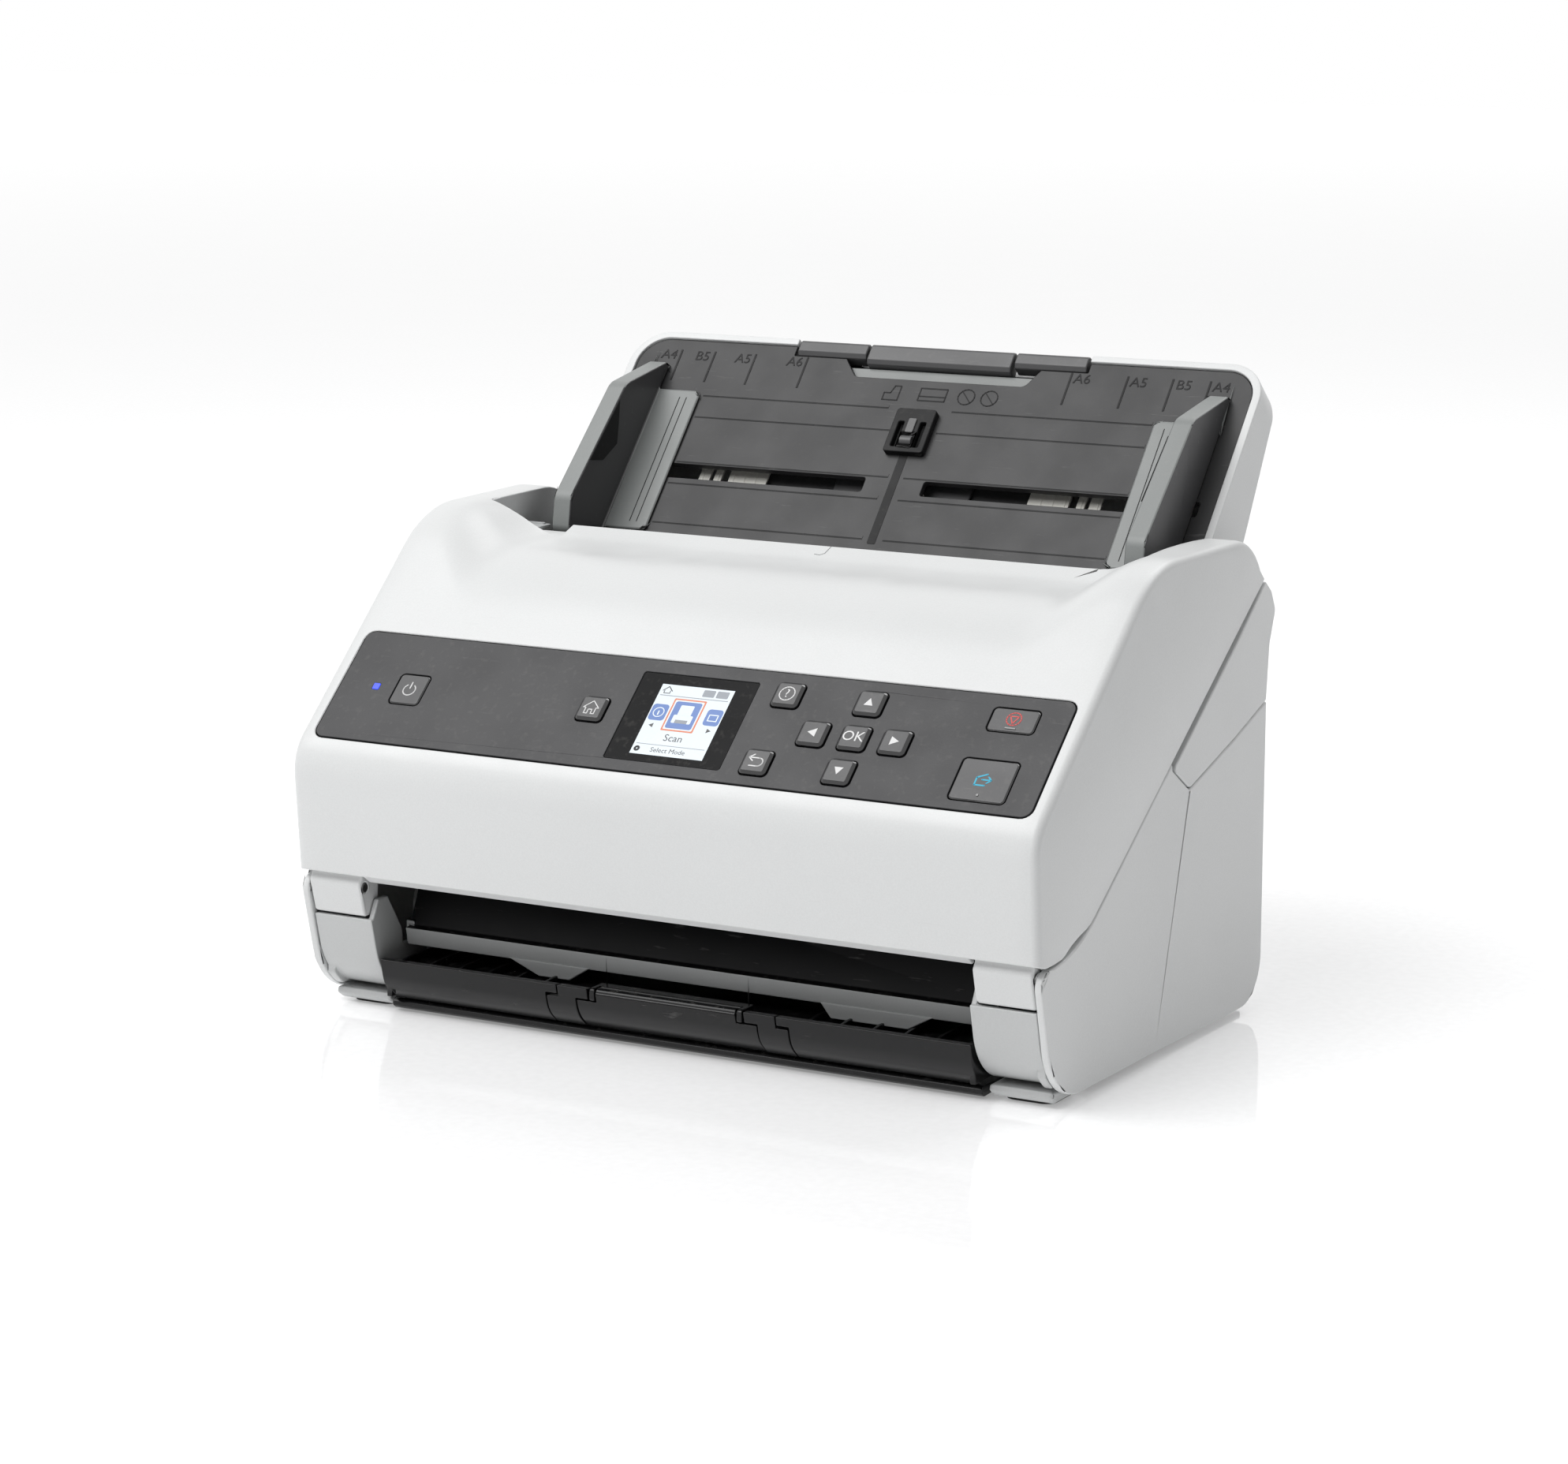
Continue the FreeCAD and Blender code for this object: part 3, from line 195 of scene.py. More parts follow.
handling.links.new(normal, parts.inputs["Vector"])
upward = spread(handling, parts.outputs["Z"], 0.55, 1.0)
speckle = spread(handling, noise(handling, place, 420.0, 5.0), 0.56, 0.72)
dust = calc(handling, "MULTIPLY", calc(handling, "MULTIPLY", upward, speckle), h_in.outputs["Dust"])
scuffed = mix_colour(handling, scuff, h_in.outputs["Colour"], (0.42, 0.42, 0.41, 1))
dusted = mix_colour(handling, dust, scuffed, (0.56, 0.54, 0.5, 1))
handling.links.new(dusted, h_out.inputs["Colour"])
rougher = calc(handling, "ADD", h_in.outputs["Roughness"], calc(handling, "MULTIPLY", scuff, 0.35))
handling.links.new(calc(handling, "ADD", rougher, calc(handling, "MULTIPLY", dust, 0.3)),
                   h_out.inputs["Roughness"])
print("groups:", [g.name for g in bpy.data.node_groups])

# %% [markdown]
# ## One recipe for moulded plastic
# The recipe joins both groups to a Principled BSDF. Constant values, such as the coat and the specular level,
# are set on the shader's own sockets.

# %% The plastic recipe
def finish(name, colour, roughness, shade=0.04, fineness=1800.0, depth=0.00002, scuffs=0.12, dust=0.08,
           metallic=0.0, coat=0.0, specular=0.5):
    """A material of moulded plastic or plated metal with grain, scuffs and dust."""
    material = bpy.data.materials.new(name)
    material.use_nodes = True
    tree = material.node_tree
    shader = tree.nodes["Principled BSDF"]
    base = tree.nodes.new("ShaderNodeGroup")
    base.node_tree = grain
    base.inputs["Colour"].default_value = (*colour, 1)
    base.inputs["Shade"].default_value = shade
    base.inputs["Roughness"].default_value = roughness
    base.inputs["Fineness"].default_value = fineness
    wear = tree.nodes.new("ShaderNodeGroup")
    wear.node_tree = handling
    wear.inputs["Scuffs"].default_value = scuffs
    wear.inputs["Dust"].default_value = dust
    tree.links.new(base.outputs["Colour"], wear.inputs["Colour"])
    tree.links.new(base.outputs["Roughness"], wear.inputs["Roughness"])
    tree.links.new(wear.outputs["Colour"], shader.inputs["Base Color"])
    tree.links.new(wear.outputs["Roughness"], shader.inputs["Roughness"])
    bump = tree.nodes.new("ShaderNodeBump")
    bump.inputs["Strength"].default_value = 0.5
    bump.inputs["Distance"].default_value = depth
    tree.links.new(base.outputs["Height"], bump.inputs["Height"])
    tree.links.new(bump.outputs["Normal"], shader.inputs["Normal"])
    shader.inputs["Metallic"].default_value = metallic
    shader.inputs["Coat Weight"].default_value = coat
    shader.inputs["Coat Roughness"].default_value = 0.12
    shader.inputs["Specular IOR Level"].default_value = specular
    return material


def glow(name, colour, strength):
    """A lit patch of the display or a lamp: a dark plastic that gives light of its own, a little uneven."""
    material = finish(name, (0.02, 0.02, 0.02), 0.3, scuffs=0.0, dust=0.0)
    tree = material.node_tree
    shader = tree.nodes["Principled BSDF"]
    light = tree.nodes.new("ShaderNodeGroup")
    light.node_tree = grain
    light.inputs["Colour"].default_value = (*colour, 1)
    tree.links.new(light.outputs["Colour"], shader.inputs["Emission Color"])
    shader.inputs["Emission Strength"].default_value = strength
    return material


# %% The finishes
WHITE = finish("white shell", (0.72, 0.73, 0.73), 0.36, shade=0.025, depth=0.000012, scuffs=0.05, dust=0.05)
# The same white, made darker, for the front corners and the feet.
WHITE_LOW = finish("lower corner shell", (0.56, 0.57, 0.57), 0.34, shade=0.025, depth=0.000012)
GREY = finish("grey trim", (0.235, 0.247, 0.243), 0.42, fineness=2200.0)
GREY_LIGHT = finish("light grey deck", (0.42, 0.43, 0.43), 0.45)
TRAY_DARK = finish("tray face", (0.025, 0.025, 0.026), 0.46, fineness=1500.0, depth=0.00003,
                   scuffs=0.1, dust=0.03, specular=0.35)
TRAY_EDGE = finish("tray handles", (0.058, 0.058, 0.060), 0.4, fineness=1500.0, depth=0.00003)
# The darkest black serves the print, and also the painted shadow strips under the tray's ridges.
TRAY_PRINT_AND_SHADOW = finish("tray print and painted shadow", (0.006, 0.006, 0.0065), 0.5, specular=0.2)
GUIDE_DARK = finish("guide walls", (0.052, 0.052, 0.054), 0.38, fineness=1500.0)
PANEL_DARK = finish("panel face", (0.034, 0.034, 0.036), 0.45, shade=0.12, fineness=1300.0, depth=0.00006,
                    scuffs=0.05, specular=0.35)
KEY_TOP = finish("key tops", (0.034, 0.034, 0.036), 0.36, fineness=1500.0, depth=0.00002)
KEY_SIDE = finish("key edges", (0.012, 0.012, 0.013), 0.12, coat=0.6, depth=0.000004)
BLACK = finish("black tray", (0.006, 0.006, 0.0065), 0.24, fineness=2400.0, depth=0.000015, specular=0.3)
# The matt black is the colour of the inner frame and other black parts. It is also painted shade in the tray's
# groove and behind the deck's crossbar.
BLACK_MATT = finish("black inner frame and painted shade", (0.004, 0.004, 0.0045), 0.5, specular=0.2)
INK_WHITE = finish("white print", (0.75, 0.75, 0.75), 0.4, depth=0.000004)
INK_RED = finish("red print", (0.62, 0.035, 0.03), 0.4, depth=0.000004)
INK_CYAN = finish("cyan print", (0.0, 0.42, 0.62), 0.4, depth=0.000004)
RUBBER = finish("feed rubber", (0.055, 0.055, 0.056), 0.8, fineness=900.0, depth=0.00008, dust=0.2)
PAD = finish("foot rubber", (0.02, 0.02, 0.02), 0.85, fineness=900.0, depth=0.00008, dust=0.2)
STEEL = finish("plated steel", (0.55, 0.55, 0.54), 0.32, metallic=1.0, fineness=600.0)
SCREW = finish("screw steel", (0.6, 0.6, 0.6), 0.2, metallic=1.0)
CAN = finish("motor can", (0.05, 0.05, 0.055), 0.4, metallic=0.6)
NATURAL = finish("natural gear plastic", (0.72, 0.71, 0.66), 0.35)
CIRCUIT = finish("circuit board", (0.01, 0.10, 0.045), 0.35, shade=0.3, fineness=700.0, depth=0.00004)
SCREEN_BLACK = finish("display window", (0.003, 0.003, 0.0035), 0.2, depth=0.000001, scuffs=0.01,
                      specular=0.05)
GLOW_WHITE = glow("screen white", (0.76, 0.84, 0.90), 1.0)
GLOW_BLUE = glow("screen blue", (0.05, 0.16, 0.50), 1.0)
GLOW_ORANGE = glow("screen orange", (0.70, 0.16, 0.04), 1.0)
GLOW_GREY = glow("screen grey", (0.24, 0.27, 0.31), 1.0)
GLOW_INK = glow("screen ink", (0.01, 0.012, 0.02), 0.2)
LAMP_BLUE = glow("blue lamp", (0.02, 0.06, 0.85), 1.3)


def clear_glass(name):
    material = bpy.data.materials.new(name)
    material.use_nodes = True
    tree = material.node_tree
    shader = tree.nodes["Principled BSDF"]
    smudge = noise(tree, tree.nodes.new("ShaderNodeTexCoord").outputs["Object"], 40.0, 4.0)
    tree.links.new(spread(tree, smudge, 0.4, 0.8, 0.03, 0.16), shader.inputs["Roughness"])
    shader.inputs["Base Color"].default_value = (0.86, 0.92, 0.9, 1)
    shader.inputs["Transmission Weight"].default_value = 1.0
    return material


GLASS = clear_glass("sensor glass")
print("materials:", len(bpy.data.materials))

# %% [markdown]
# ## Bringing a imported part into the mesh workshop
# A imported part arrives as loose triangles. A copy of it is merged, and its flat triangles are dissolved into
# whole faces. Then a Bevel modifier can give it the small round edges that every moulding has: those edges
# catch the light, and without them a part looks like cut card. Where a whole face is too concave to shade
# well, the copy is split into triangles again. A Weighted Normal modifier keeps flat faces flat, and the
# curved cover goes without it.

# %% Workshop helpers
def to_object(name, bm, materials, body, replaced=()):
    """Makes the finished piece from a bmesh, hangs it on the body it rides on, and hides the imported parts it
    replaces.
    """
    mesh = bpy.data.meshes.new(name)
    bm.to_mesh(mesh)
    bm.free()
    obj = bpy.data.objects.new(name, mesh)
    bpy.context.scene.collection.objects.link(obj)
    for material in materials:
        mesh.materials.append(material)
    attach(obj, body)
    if replaced:
        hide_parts(*replaced)
    return obj


SAME_POINT = 0.002 * MM
FLAT_ENOUGH = math.radians(0.8)


def copy_of(node, split=False):
    """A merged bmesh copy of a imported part, its flat triangles joined; split cuts its many-sided faces."""
    bm = bmesh.new()
    bm.from_mesh(nodes[node].data)
    bmesh.ops.remove_doubles(bm, verts=bm.verts, dist=SAME_POINT)
    bmesh.ops.dissolve_limit(bm, angle_limit=FLAT_ENOUGH, verts=bm.verts, edges=bm.edges)
    if split:
        concave = [face for face in bm.faces if len(face.verts) > 4]
        bmesh.ops.triangulate(bm, faces=concave, quad_method="BEAUTY", ngon_method="BEAUTY")
    for face in bm.faces:
        face.material_index = 0
    return bm


def round_edges(obj, width, segments=2, angle=38, flat=True):
    """Rounds the sharp edges and shades the faces smoothly between them."""
    for polygon in obj.data.polygons:
        polygon.use_smooth = True
    bevel = obj.modifiers.new("round edges", "BEVEL")
    bevel.width = width * MM
    bevel.segments = segments
    bevel.limit_method = "ANGLE"
    bevel.angle_limit = math.radians(angle)
    bevel.use_clamp_overlap = False
    bevel.miter_outer = "MITER_ARC"
    bevel.harden_normals = not flat
    if flat:
        weighted = obj.modifiers.new("even shading", "WEIGHTED_NORMAL")
        weighted.mode = "FACE_AREA"
        weighted.weight = 100
        weighted.keep_sharp = True
    return obj


def dress(node, materials, width, segments=2, painter=None, split=False):
    """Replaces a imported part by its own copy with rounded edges; painter picks each face's material."""
    bm = copy_of(node, split)
    if painter:
        bm.normal_update()
        for face in bm.faces:
            face.material_index = painter(face.calc_center_median() / MM, face.normal)
    body = nodes[node]["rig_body"]
    obj = to_object(node + "_skin", bm, materials, body, (node,))
    return round_edges(obj, width, segments)


def prism(outline, low, high, matrix, corner=0.0, segments=5):
    """A bmesh block: a flat outline in millimetres, its corners rounded, raised from low to high."""
    bm = bmesh.new()
    base = bm.faces.new([bm.verts.new((x, y, low)) for x, y in outline])
    if corner:
        bmesh.ops.bevel(bm, geom=list(bm.verts), offset=corner, segments=segments, profile=0.5,
                        affect="VERTICES", material=-1)
        base = bm.faces[:][0]
    raised = bmesh.ops.extrude_face_region(bm, geom=[base])
    bmesh.ops.translate(bm, verts=[v for v in raised["geom"] if isinstance(v, bmesh.types.BMVert)],
                        vec=(0, 0, high - low))
    bmesh.ops.transform(bm, matrix=matrix, verts=bm.verts)
    bmesh.ops.recalc_face_normals(bm, faces=bm.faces)
    return bm


def rectangle(x, y, width, height):
    a, b = width / 2, height / 2
    return [(x - a, y - b), (x + a, y - b), (x + a, y + b), (x - a, y + b)]


def merge_into(bm, other, index=0):
    """Adds another bmesh's faces to bm, with a material index."""
    for face in other.faces:
        face.material_index = index
    mesh = bpy.data.meshes.new("scratch")
    other.to_mesh(mesh)
    other.free()
    bm.from_mesh(mesh)
    bpy.data.meshes.remove(mesh)
    return bm


def carve(obj, cutter_bm):
    """Cuts a bmesh shape out of an object, for good."""
    mesh = bpy.data.meshes.new("cutter")
    cutter_bm.to_mesh(mesh)
    cutter_bm.free()
    cutter = bpy.data.objects.new("cutter", mesh)
    bpy.context.scene.collection.objects.link(cutter)
    modifier = obj.modifiers.new("cut", "BOOLEAN")
    modifier.operation = "DIFFERENCE"
    modifier.object = cutter
    modifier.solver = "EXACT"
    bpy.context.view_layer.update()
    result = bpy.data.meshes.new_from_object(obj.evaluated_get(bpy.context.evaluated_depsgraph_get()))
    obj.modifiers.remove(modifier)
    old = obj.data
    result.name = old.name
    obj.data = result
    bpy.data.meshes.remove(old)
    bpy.data.objects.remove(cutter)
    bpy.data.meshes.remove(mesh)
    return obj


# %% Drawing helpers
def letters(bm, text, x, y, size, low, high, matrix, index=0):
    """Adds raised lettering, made a mesh and laid flat at (x, y) in millimetres."""
    curve = bpy.data.curves.new("letters", "FONT")
    curve.body = text
    curve.size = size
    curve.align_x = "CENTER"
    curve.align_y = "CENTER"
    curve.extrude = (high - low) / 2
    curve.resolution_u = 3
    obj = bpy.data.objects.new("letters", curve)
    bpy.context.scene.collection.objects.link(obj)
    bpy.context.view_layer.update()
    mesh = bpy.data.meshes.new_from_object(obj.evaluated_get(bpy.context.evaluated_depsgraph_get()))
    shape = bmesh.new()
    shape.from_mesh(mesh)
    middle = Matrix.Translation((x, y, (low + high) / 2))
    bmesh.ops.transform(shape, matrix=matrix @ middle, verts=shape.verts)
    bpy.data.objects.remove(obj)
    bpy.data.curves.remove(curve)
    bpy.data.meshes.remove(mesh)
    return merge_into(bm, shape, index)


def stroke(bm, points, width, low, high, matrix, index=0, closed=False):
    """A drawn line: a thin bar for each run and a round dot at each point."""
    runs = list(zip(points, points[1:] + points[:1] if closed else points[1:]))
    for (x0, y0), (x1, y1) in runs:
        along = Vector((x1 - x0, y1 - y0))
        side = Vector((-along.y, along.x)).normalized() * width / 2
        bar = [(x0 - side.x, y0 - side.y), (x1 - side.x, y1 - side.y),
               (x1 + side.x, y1 + side.y), (x0 + side.x, y0 + side.y)]
        merge_into(bm, prism(bar, low, high, matrix), index)
    for x, y in points:
        dot = bmesh.new()
        bmesh.ops.create_cone(dot, cap_ends=True, segments=8, radius1=width / 2, radius2=width / 2,
                              depth=high - low)
        middle = Matrix.Translation((x, y, (low + high) / 2))
        bmesh.ops.transform(dot, matrix=matrix @ middle, verts=dot.verts)
        merge_into(bm, dot, index)
    return bm


def circle_points(x, y, radius, start=0, end=360, steps=16):
    angles = [math.radians(start + (end - start) * i / steps) for i in range(steps + 1)]
    return [(x + radius * math.cos(a), y + radius * math.sin(a)) for a in angles]


# %% [markdown]
# ## The cover's skin
# The real cover is one white moulding. Its middle dips between two cheeks, and the surface rolls up into each
# cheek in an S. A side section is drawn once for the middle and once for the cheek, with the same number of
# points, and each station across the width takes a blend of the two. Extruding the section's edges from
# station to station skins the form, and solid cutters then open the feed throat, the inside and the panel's
# seat.

# %% Sections of the cover
def fillet(before, corner, after, radius, steps):
    """Points of the arc that rounds a corner."""
    a, b, c = Vector(before), Vector(corner), Vector(after)
    back, ahead = (a - b).normalized(), (c - b).normalized()
    half = back.angle(ahead) / 2
    run = radius / math.tan(half)
    centre = b + (back + ahead).normalized() * radius / math.sin(half)
    start = b + back * run - centre
    turn = math.pi - 2 * half
    if start.x * ahead.y - start.y * ahead.x < 0:
        turn = -turn
    return [tuple(centre + Matrix.Rotation(turn * i / steps, 2) @ start) for i in range(steps + 1)]


FOOT = (-103.6, 49.6)
NOSE = (-106.76, 90.1)
CHEEK = (-24.9, 163.0)
VALLEY = (-38.98, 150.3)
CREST = (51.7, 163.0)
TAIL = (58.05, 147.37)
KNEE = (-78.9, 47.85)
HEEL = (-99.0, 48.25)

underside = [TAIL] + fillet(TAIL, KNEE, HEEL, 55, 8) + [HEEL]
crest_arc = fillet(CHEEK, CREST, TAIL, 23.5, 8)
cheek_line = ([FOOT] + fillet(FOOT, NOSE, CHEEK, 17, 8) + fillet(NOSE, CHEEK, CREST, 45, 12)
              + [(1.4, 163), (8, 163), (15, 163), (24, 163)] + crest_arc + underside)
middle_arc = [(y, 147.4 + (z - 147.4) * 0.5) for y, z in crest_arc]
valley_line = ([FOOT] + fillet(FOOT, NOSE, VALLEY, 17, 8) + fillet(NOSE, VALLEY, (1.4, 149.9), 60, 12)
               + [(2.4, 149.95), (8, 151.2), (15, 153.8), (24, 155.2)] + middle_arc + underside)
print("points in each section:", len(cheek_line), len(valley_line))


def half_width(y):
    """The sides widen a little towards the rear."""
    if y < -20:
        return 138.6 + (y + 107) * 0.0138
    return min(141.6, 139.8 + (y + 20) * 0.0321)


def swell(x):
    """How far the S between the valley and a cheek has risen, from 0 to 1."""
    t = min(1.0, max(0.0, (abs(x) - 103.0) / 27.5))
    return t * t * (3 - 2 * t)


# %% Skin the cover
stations = [0, 45, 80, 95, 101, 104, 106.5, 109, 111.5, 114, 116.5, 119, 121.5, 124, 126.5, 129, 131.5, 141.6]
stations = [-x for x in reversed(stations[1:])] + stations
bm = bmesh.new()
rank = bm.verts.layers.int.new("rank")


def station_point(index, x):
    share = swell(x)
    y = valley_line[index][0] * (1 - share) + cheek_line[index][0] * share
    z = valley_line[index][1] * (1 - share) + cheek_line[index][1] * share
    if abs(x) > 141:
        x = math.copysign(half_width(y), x)
    return Vector((x, y, z)) * MM


ring = []
for index in range(len(cheek_line)):
    vertex = bm.verts.new(station_point(index, stations[0]))
    vertex[rank] = index
    ring.append(vertex)
rim = [bm.edges.new((a, b)) for a, b in zip(ring, ring[1:] + ring[:1])]
caps = [bm.faces.new(ring)]
for x in stations[1:]:
    grown = bmesh.ops.extrude_edge_only(bm, edges=rim)["geom"]
    for vertex in grown:
        if isinstance(vertex, bmesh.types.BMVert):
            vertex.co = station_point(vertex[rank], x)
    rim = [e for e in grown if isinstance(e, bmesh.types.BMEdge) and len(e.link_faces) == 1]
caps.append(bmesh.ops.contextual_create(bm, geom=rim)["faces"][0])
bmesh.ops.recalc_face_normals(bm, faces=bm.faces)

# The seam with the base, in metres, seen from the side: edges on it or below its foot stay sharp.
SEAM_SLOPE = 0.7265
SEAM_HEIGHT = 0.1062
SEAM_FOOT = 0.0495


def above_the_seam(edge):
    middle = (edge.verts[0].co + edge.verts[1].co) / 2
    return middle.z > SEAM_FOOT and middle.z > middle.y * SEAM_SLOPE + SEAM_HEIGHT


cap_edges = [e for e in {e for cap in caps for e in cap.edges} if above_the_seam(e)]
bmesh.ops.bevel(bm, geom=cap_edges, offset=0.0026, segments=4, profile=0.5, affect="EDGES", material=-1)
cover = to_object("cover_skin", bm, [WHITE], "cover", ("cover_shell",))
print("cover faces:", len(cover.data.polygons))

# %% Open the cover
# Each cutter is a plain prism. The throat lets sheets in behind the lip, the pocket holds the feed selector,
# and the seat takes the control panel with a narrow shadow gap all round.
throat = [(-128, 90), (-128, 15), (100.5, 15), (116, 17.5), (128, 35.6), (128, 90)]
carve(cover, prism(throat, 20, 200, PLAN))
pocket = [(-1, 166), (4.5, 157.0), (6.5, 151.0), (16, 151.0), (16, 170), (-1, 170)]
carve(cover, prism(pocket, -128, -103, SIDE))
inside = [(-101.3, 30), (-104.2, 88), (-103.5, 91.6), (-101.3, 93.9), (-60, 130.5), (-47, 140), (-36, 145.6),
          (-26, 147.6), (12.4, 147.8), (13.4, 149.2), (16, 149.2), (16, 30)]
carve(cover, prism(inside, -136.0, 136.0, SIDE))
carve(cover, prism(rectangle(0, 40, 257, 53), 0, 146, PLAN))
carve(cover, prism([(-136, -19), (-136, 51), (-130.8, 51), (-130.8, -19)], 60, 158, PLAN))
carve(cover, prism([(136, -19), (136, 51), (130.8, 51), (130.8, -19)], 60, 158, PLAN))
carve(cover, prism(rectangle(0, 0, 267.6, 46.4), -2.1, 12, PANEL, corner=4.0))
carve(cover, prism(rectangle(0, 0, 261.6, 42.0), -12, 1, PANEL, corner=3.0))
carve(cover, prism([(-123.3, 9.2), (-118.7, 9.2), (-118.7, 30), (-123.3, 30)], 140, 152, PLAN))
round_edges(cover, 0.45, 3, angle=42, flat=False)
print("cover faces after the cuts:", len(cover.data.polygons))

# %% The lip under the cover
# The front wall turns in under the cover, so the opening below it has a soft upper edge.
lip = prism([(-103.1, 49.9), (-98.2, 46.4), (-97.0, 47.2), (-100.4, 52.5), (-102.6, 53)], -113.4, 113.4, SIDE)
lip_piece = to_object("cover_lip", lip, [WHITE], "cover")
round_edges(lip_piece, 0.6, 3)

# %% The centring mark
# A hairline cut in the lip shows where the middle of the sheet goes.
LIP = slope(11.5, 152.5, 20.4)
centring = bmesh.new()
stroke(centring, [(-2.6, -2.6), (-0.6, -2.9), (0.8, -1.6), (0.8, 3.2)], 0.3, -0.12, 0.06, LIP)
to_object("centring_mark", centring, [GREY], "cover")

# %% [markdown]
# ## The base and its front corners
# The side walls, the corner pieces and the hinge arms are simple mouldings, so their imported shapes are kept
# and only get rounded edges. The faces of the peaked walls that turn towards the opening take the deck's light
# grey, picked by place.

# %% Dress the white mouldings
def pillar_painter(centre, normal):
    return 1 if abs(centre.x) < 114.6 and abs(normal.x) > 0.5 else 0


# The deck is light grey only on the crossbar's front face. Every face behind it is matt black: painted shade
# that keeps the opening above the crossbar dark.
def deck_shade_painter(centre, normal):
    return 0 if centre.y < -79 and normal.y < -0.5 and centre.z < 28.6 else 1


dress("base_shell", [WHITE], 0.7, 3, split=True)
dress("front_pillars", [WHITE_LOW, GREY_LIGHT], 0.5, 3, pillar_painter)
dress("hinge_blocks", [WHITE], 0.9, 3)
dress("cover_lever", [WHITE], 0.5, 3)
dress("rear_panel", [WHITE], 0.25, 2)
dress("tray_shell", [WHITE], 0.4, 3, split=True)
dress("lower_deck", [GREY_LIGHT, BLACK_MATT], 0.4, 3, deck_shade_painter)
tabs = bmesh.new()
for x0, x1, x2, x3 in ((-69, -57, -45, -37), (50, 54, 82, 91)):
    merge_into(tabs, prism([(x0, 22.6), (x1, 17.6), (x2, 17.6), (x3, 22.6)], 80.6, 81.9, UPRIGHT))
round_edges(to_object("crossbar_tabs", tabs, [GREY_LIGHT], "base"), 0.4, 3)
dress("feet", [WHITE_LOW], 1.1, 3)
dress("bottom_pan", [BLACK], 0.3, 2)
dress("feed_selector", [GREY_LIGHT], 0.2, 2)

# %% [markdown]
# ## The output tray
# The black tray has three nested stages. Its top carries ribs that lift the sheets, so that they don't cling.

# %% Dress the output tray
for node in ("output_tray", "output_extension", "output_extension_tip", "output_stopper"):
    dress(node, [BLACK], 0.35, 3)
ribs = bmesh.new()
for side in (-1, 1):
    for i in range(6):
        x = side * (50.0 + 11.5 * i)
        fin = [(-93.5, 16.2), (-92.0, 17.8), (-84.0, 18.6), (26.0, 18.6), (28.0, 16.2)]
        merge_into(ribs, prism(fin, x - 0.55, x + 0.55, SIDE))
rib_piece = to_object("output_tray_ribs", ribs, [BLACK], "output_tray")
round_edges(rib_piece, 0.2, 2)

# %% [markdown]
# ## The edge guides
# Each guide is one moulding in two tones: dark walls, with a grey band along the edge that the hand meets.
# The light blocks seen through the slots stay on the base, just under the racks, so the guides slide over
# them.

# %% Dress the guides
def guide_painter(centre, normal):
    return 1 if abs(normal.x) > 0.7 and abs(centre.x) > 107.0 else 0


for node in ("left_guide", "right_guide"):
    dress(node, [GREY, GUIDE_DARK], 0.7, 3, guide_painter, split=True)
for side, body in ((-1, "left_guide"), (1, "right_guide")):
    details = bmesh.new()
    for x in (94.6, 97.4):
        merge_into(details, prism(rectangle(side * x, -35, 0.3, 54), 1.24, 1.34, TRAY))
    to_object(body + "_lines", details, [TRAY_PRINT_AND_SHADOW], body)
    lozenge = [(-52, 23.9), (-47, 16.5), (-37, 12.4), (-31, 16.0), (-23.5, 21.0)]
    pad = prism(lozenge, side * 107.56, side * 107.2, ALONG)
    round_edges(to_object(body + "_pad", pad, [BLACK_MATT], body), 0.12, 2)
    track = bmesh.new()
    for x, width in ((59.5, 15.5), (71.8, 3.0), (77.2, 4.4)):
        merge_into(track, prism(rectangle(side * x - 1.9, -35.6, width, 6.2), -6.6, -5.85, TRAY, corner=0.3))
    for x in (56.5, 61.0, 65.5, 71.8, 78.0):
        merge_into(track, prism(rectangle(side * x - 1.9, -35.6, 0.8, 5.6), -5.9, -5.7, TRAY))
    to_object(body + "_track", track, [NATURAL], "base")

# %% [markdown]
# ## The input tray's face
# The face carries ridges that stiffen it, marks for standard sheet sizes, small hint pictures and a clip in
# the middle. The marks are cut as thin raised lines, as the mould would leave them.

# %% Dress the tray
def tray_painter(centre, normal):
    flat = TRAY.inverted() @ (centre * MM)
    return 1 if flat.z < -2.45 and 4.8 < flat.y < 15.4 and abs(flat.x) < 50 and normal.z > 0 else 0


dress("tray_plate", [TRAY_DARK, GREY], 0.3, 2, tray_painter)
dress("tray_extension", [TRAY_EDGE], 0.6, 3)
dress("tray_extension_tip", [TRAY_EDGE], 0.6, 3)

ridges = bmesh.new()
RIDGE_RUNS = [(-89, -13, -5.2), (12, 89, -5.2), (-89, -9, -14.5), (9, 89, -14.5), (-89, -3, -34.0),
              (3, 89, -34.0), (-89, -4, -43.2), (4, 89, -43.2), (-89, -4, -60.0), (4, 89, -60.0)]
for x0, x1, s in RIDGE_RUNS:
    merge_into(ridges, prism(rectangle((x0 + x1) / 2, s, x1 - x0, 1.1), -0.1, 0.1, TRAY), 0)
    # Below each ridge lies a thin flat strip in the darkest black: a painted shadow of the ridge.
    merge_into(ridges, prism(rectangle((x0 + x1) / 2, s - 0.85, x1 - x0, 0.5), -0.05, 0.05, TRAY), 1)
to_object("tray_ridges_and_shadows", ridges, [TRAY_DARK, TRAY_PRINT_AND_SHADOW], "base")

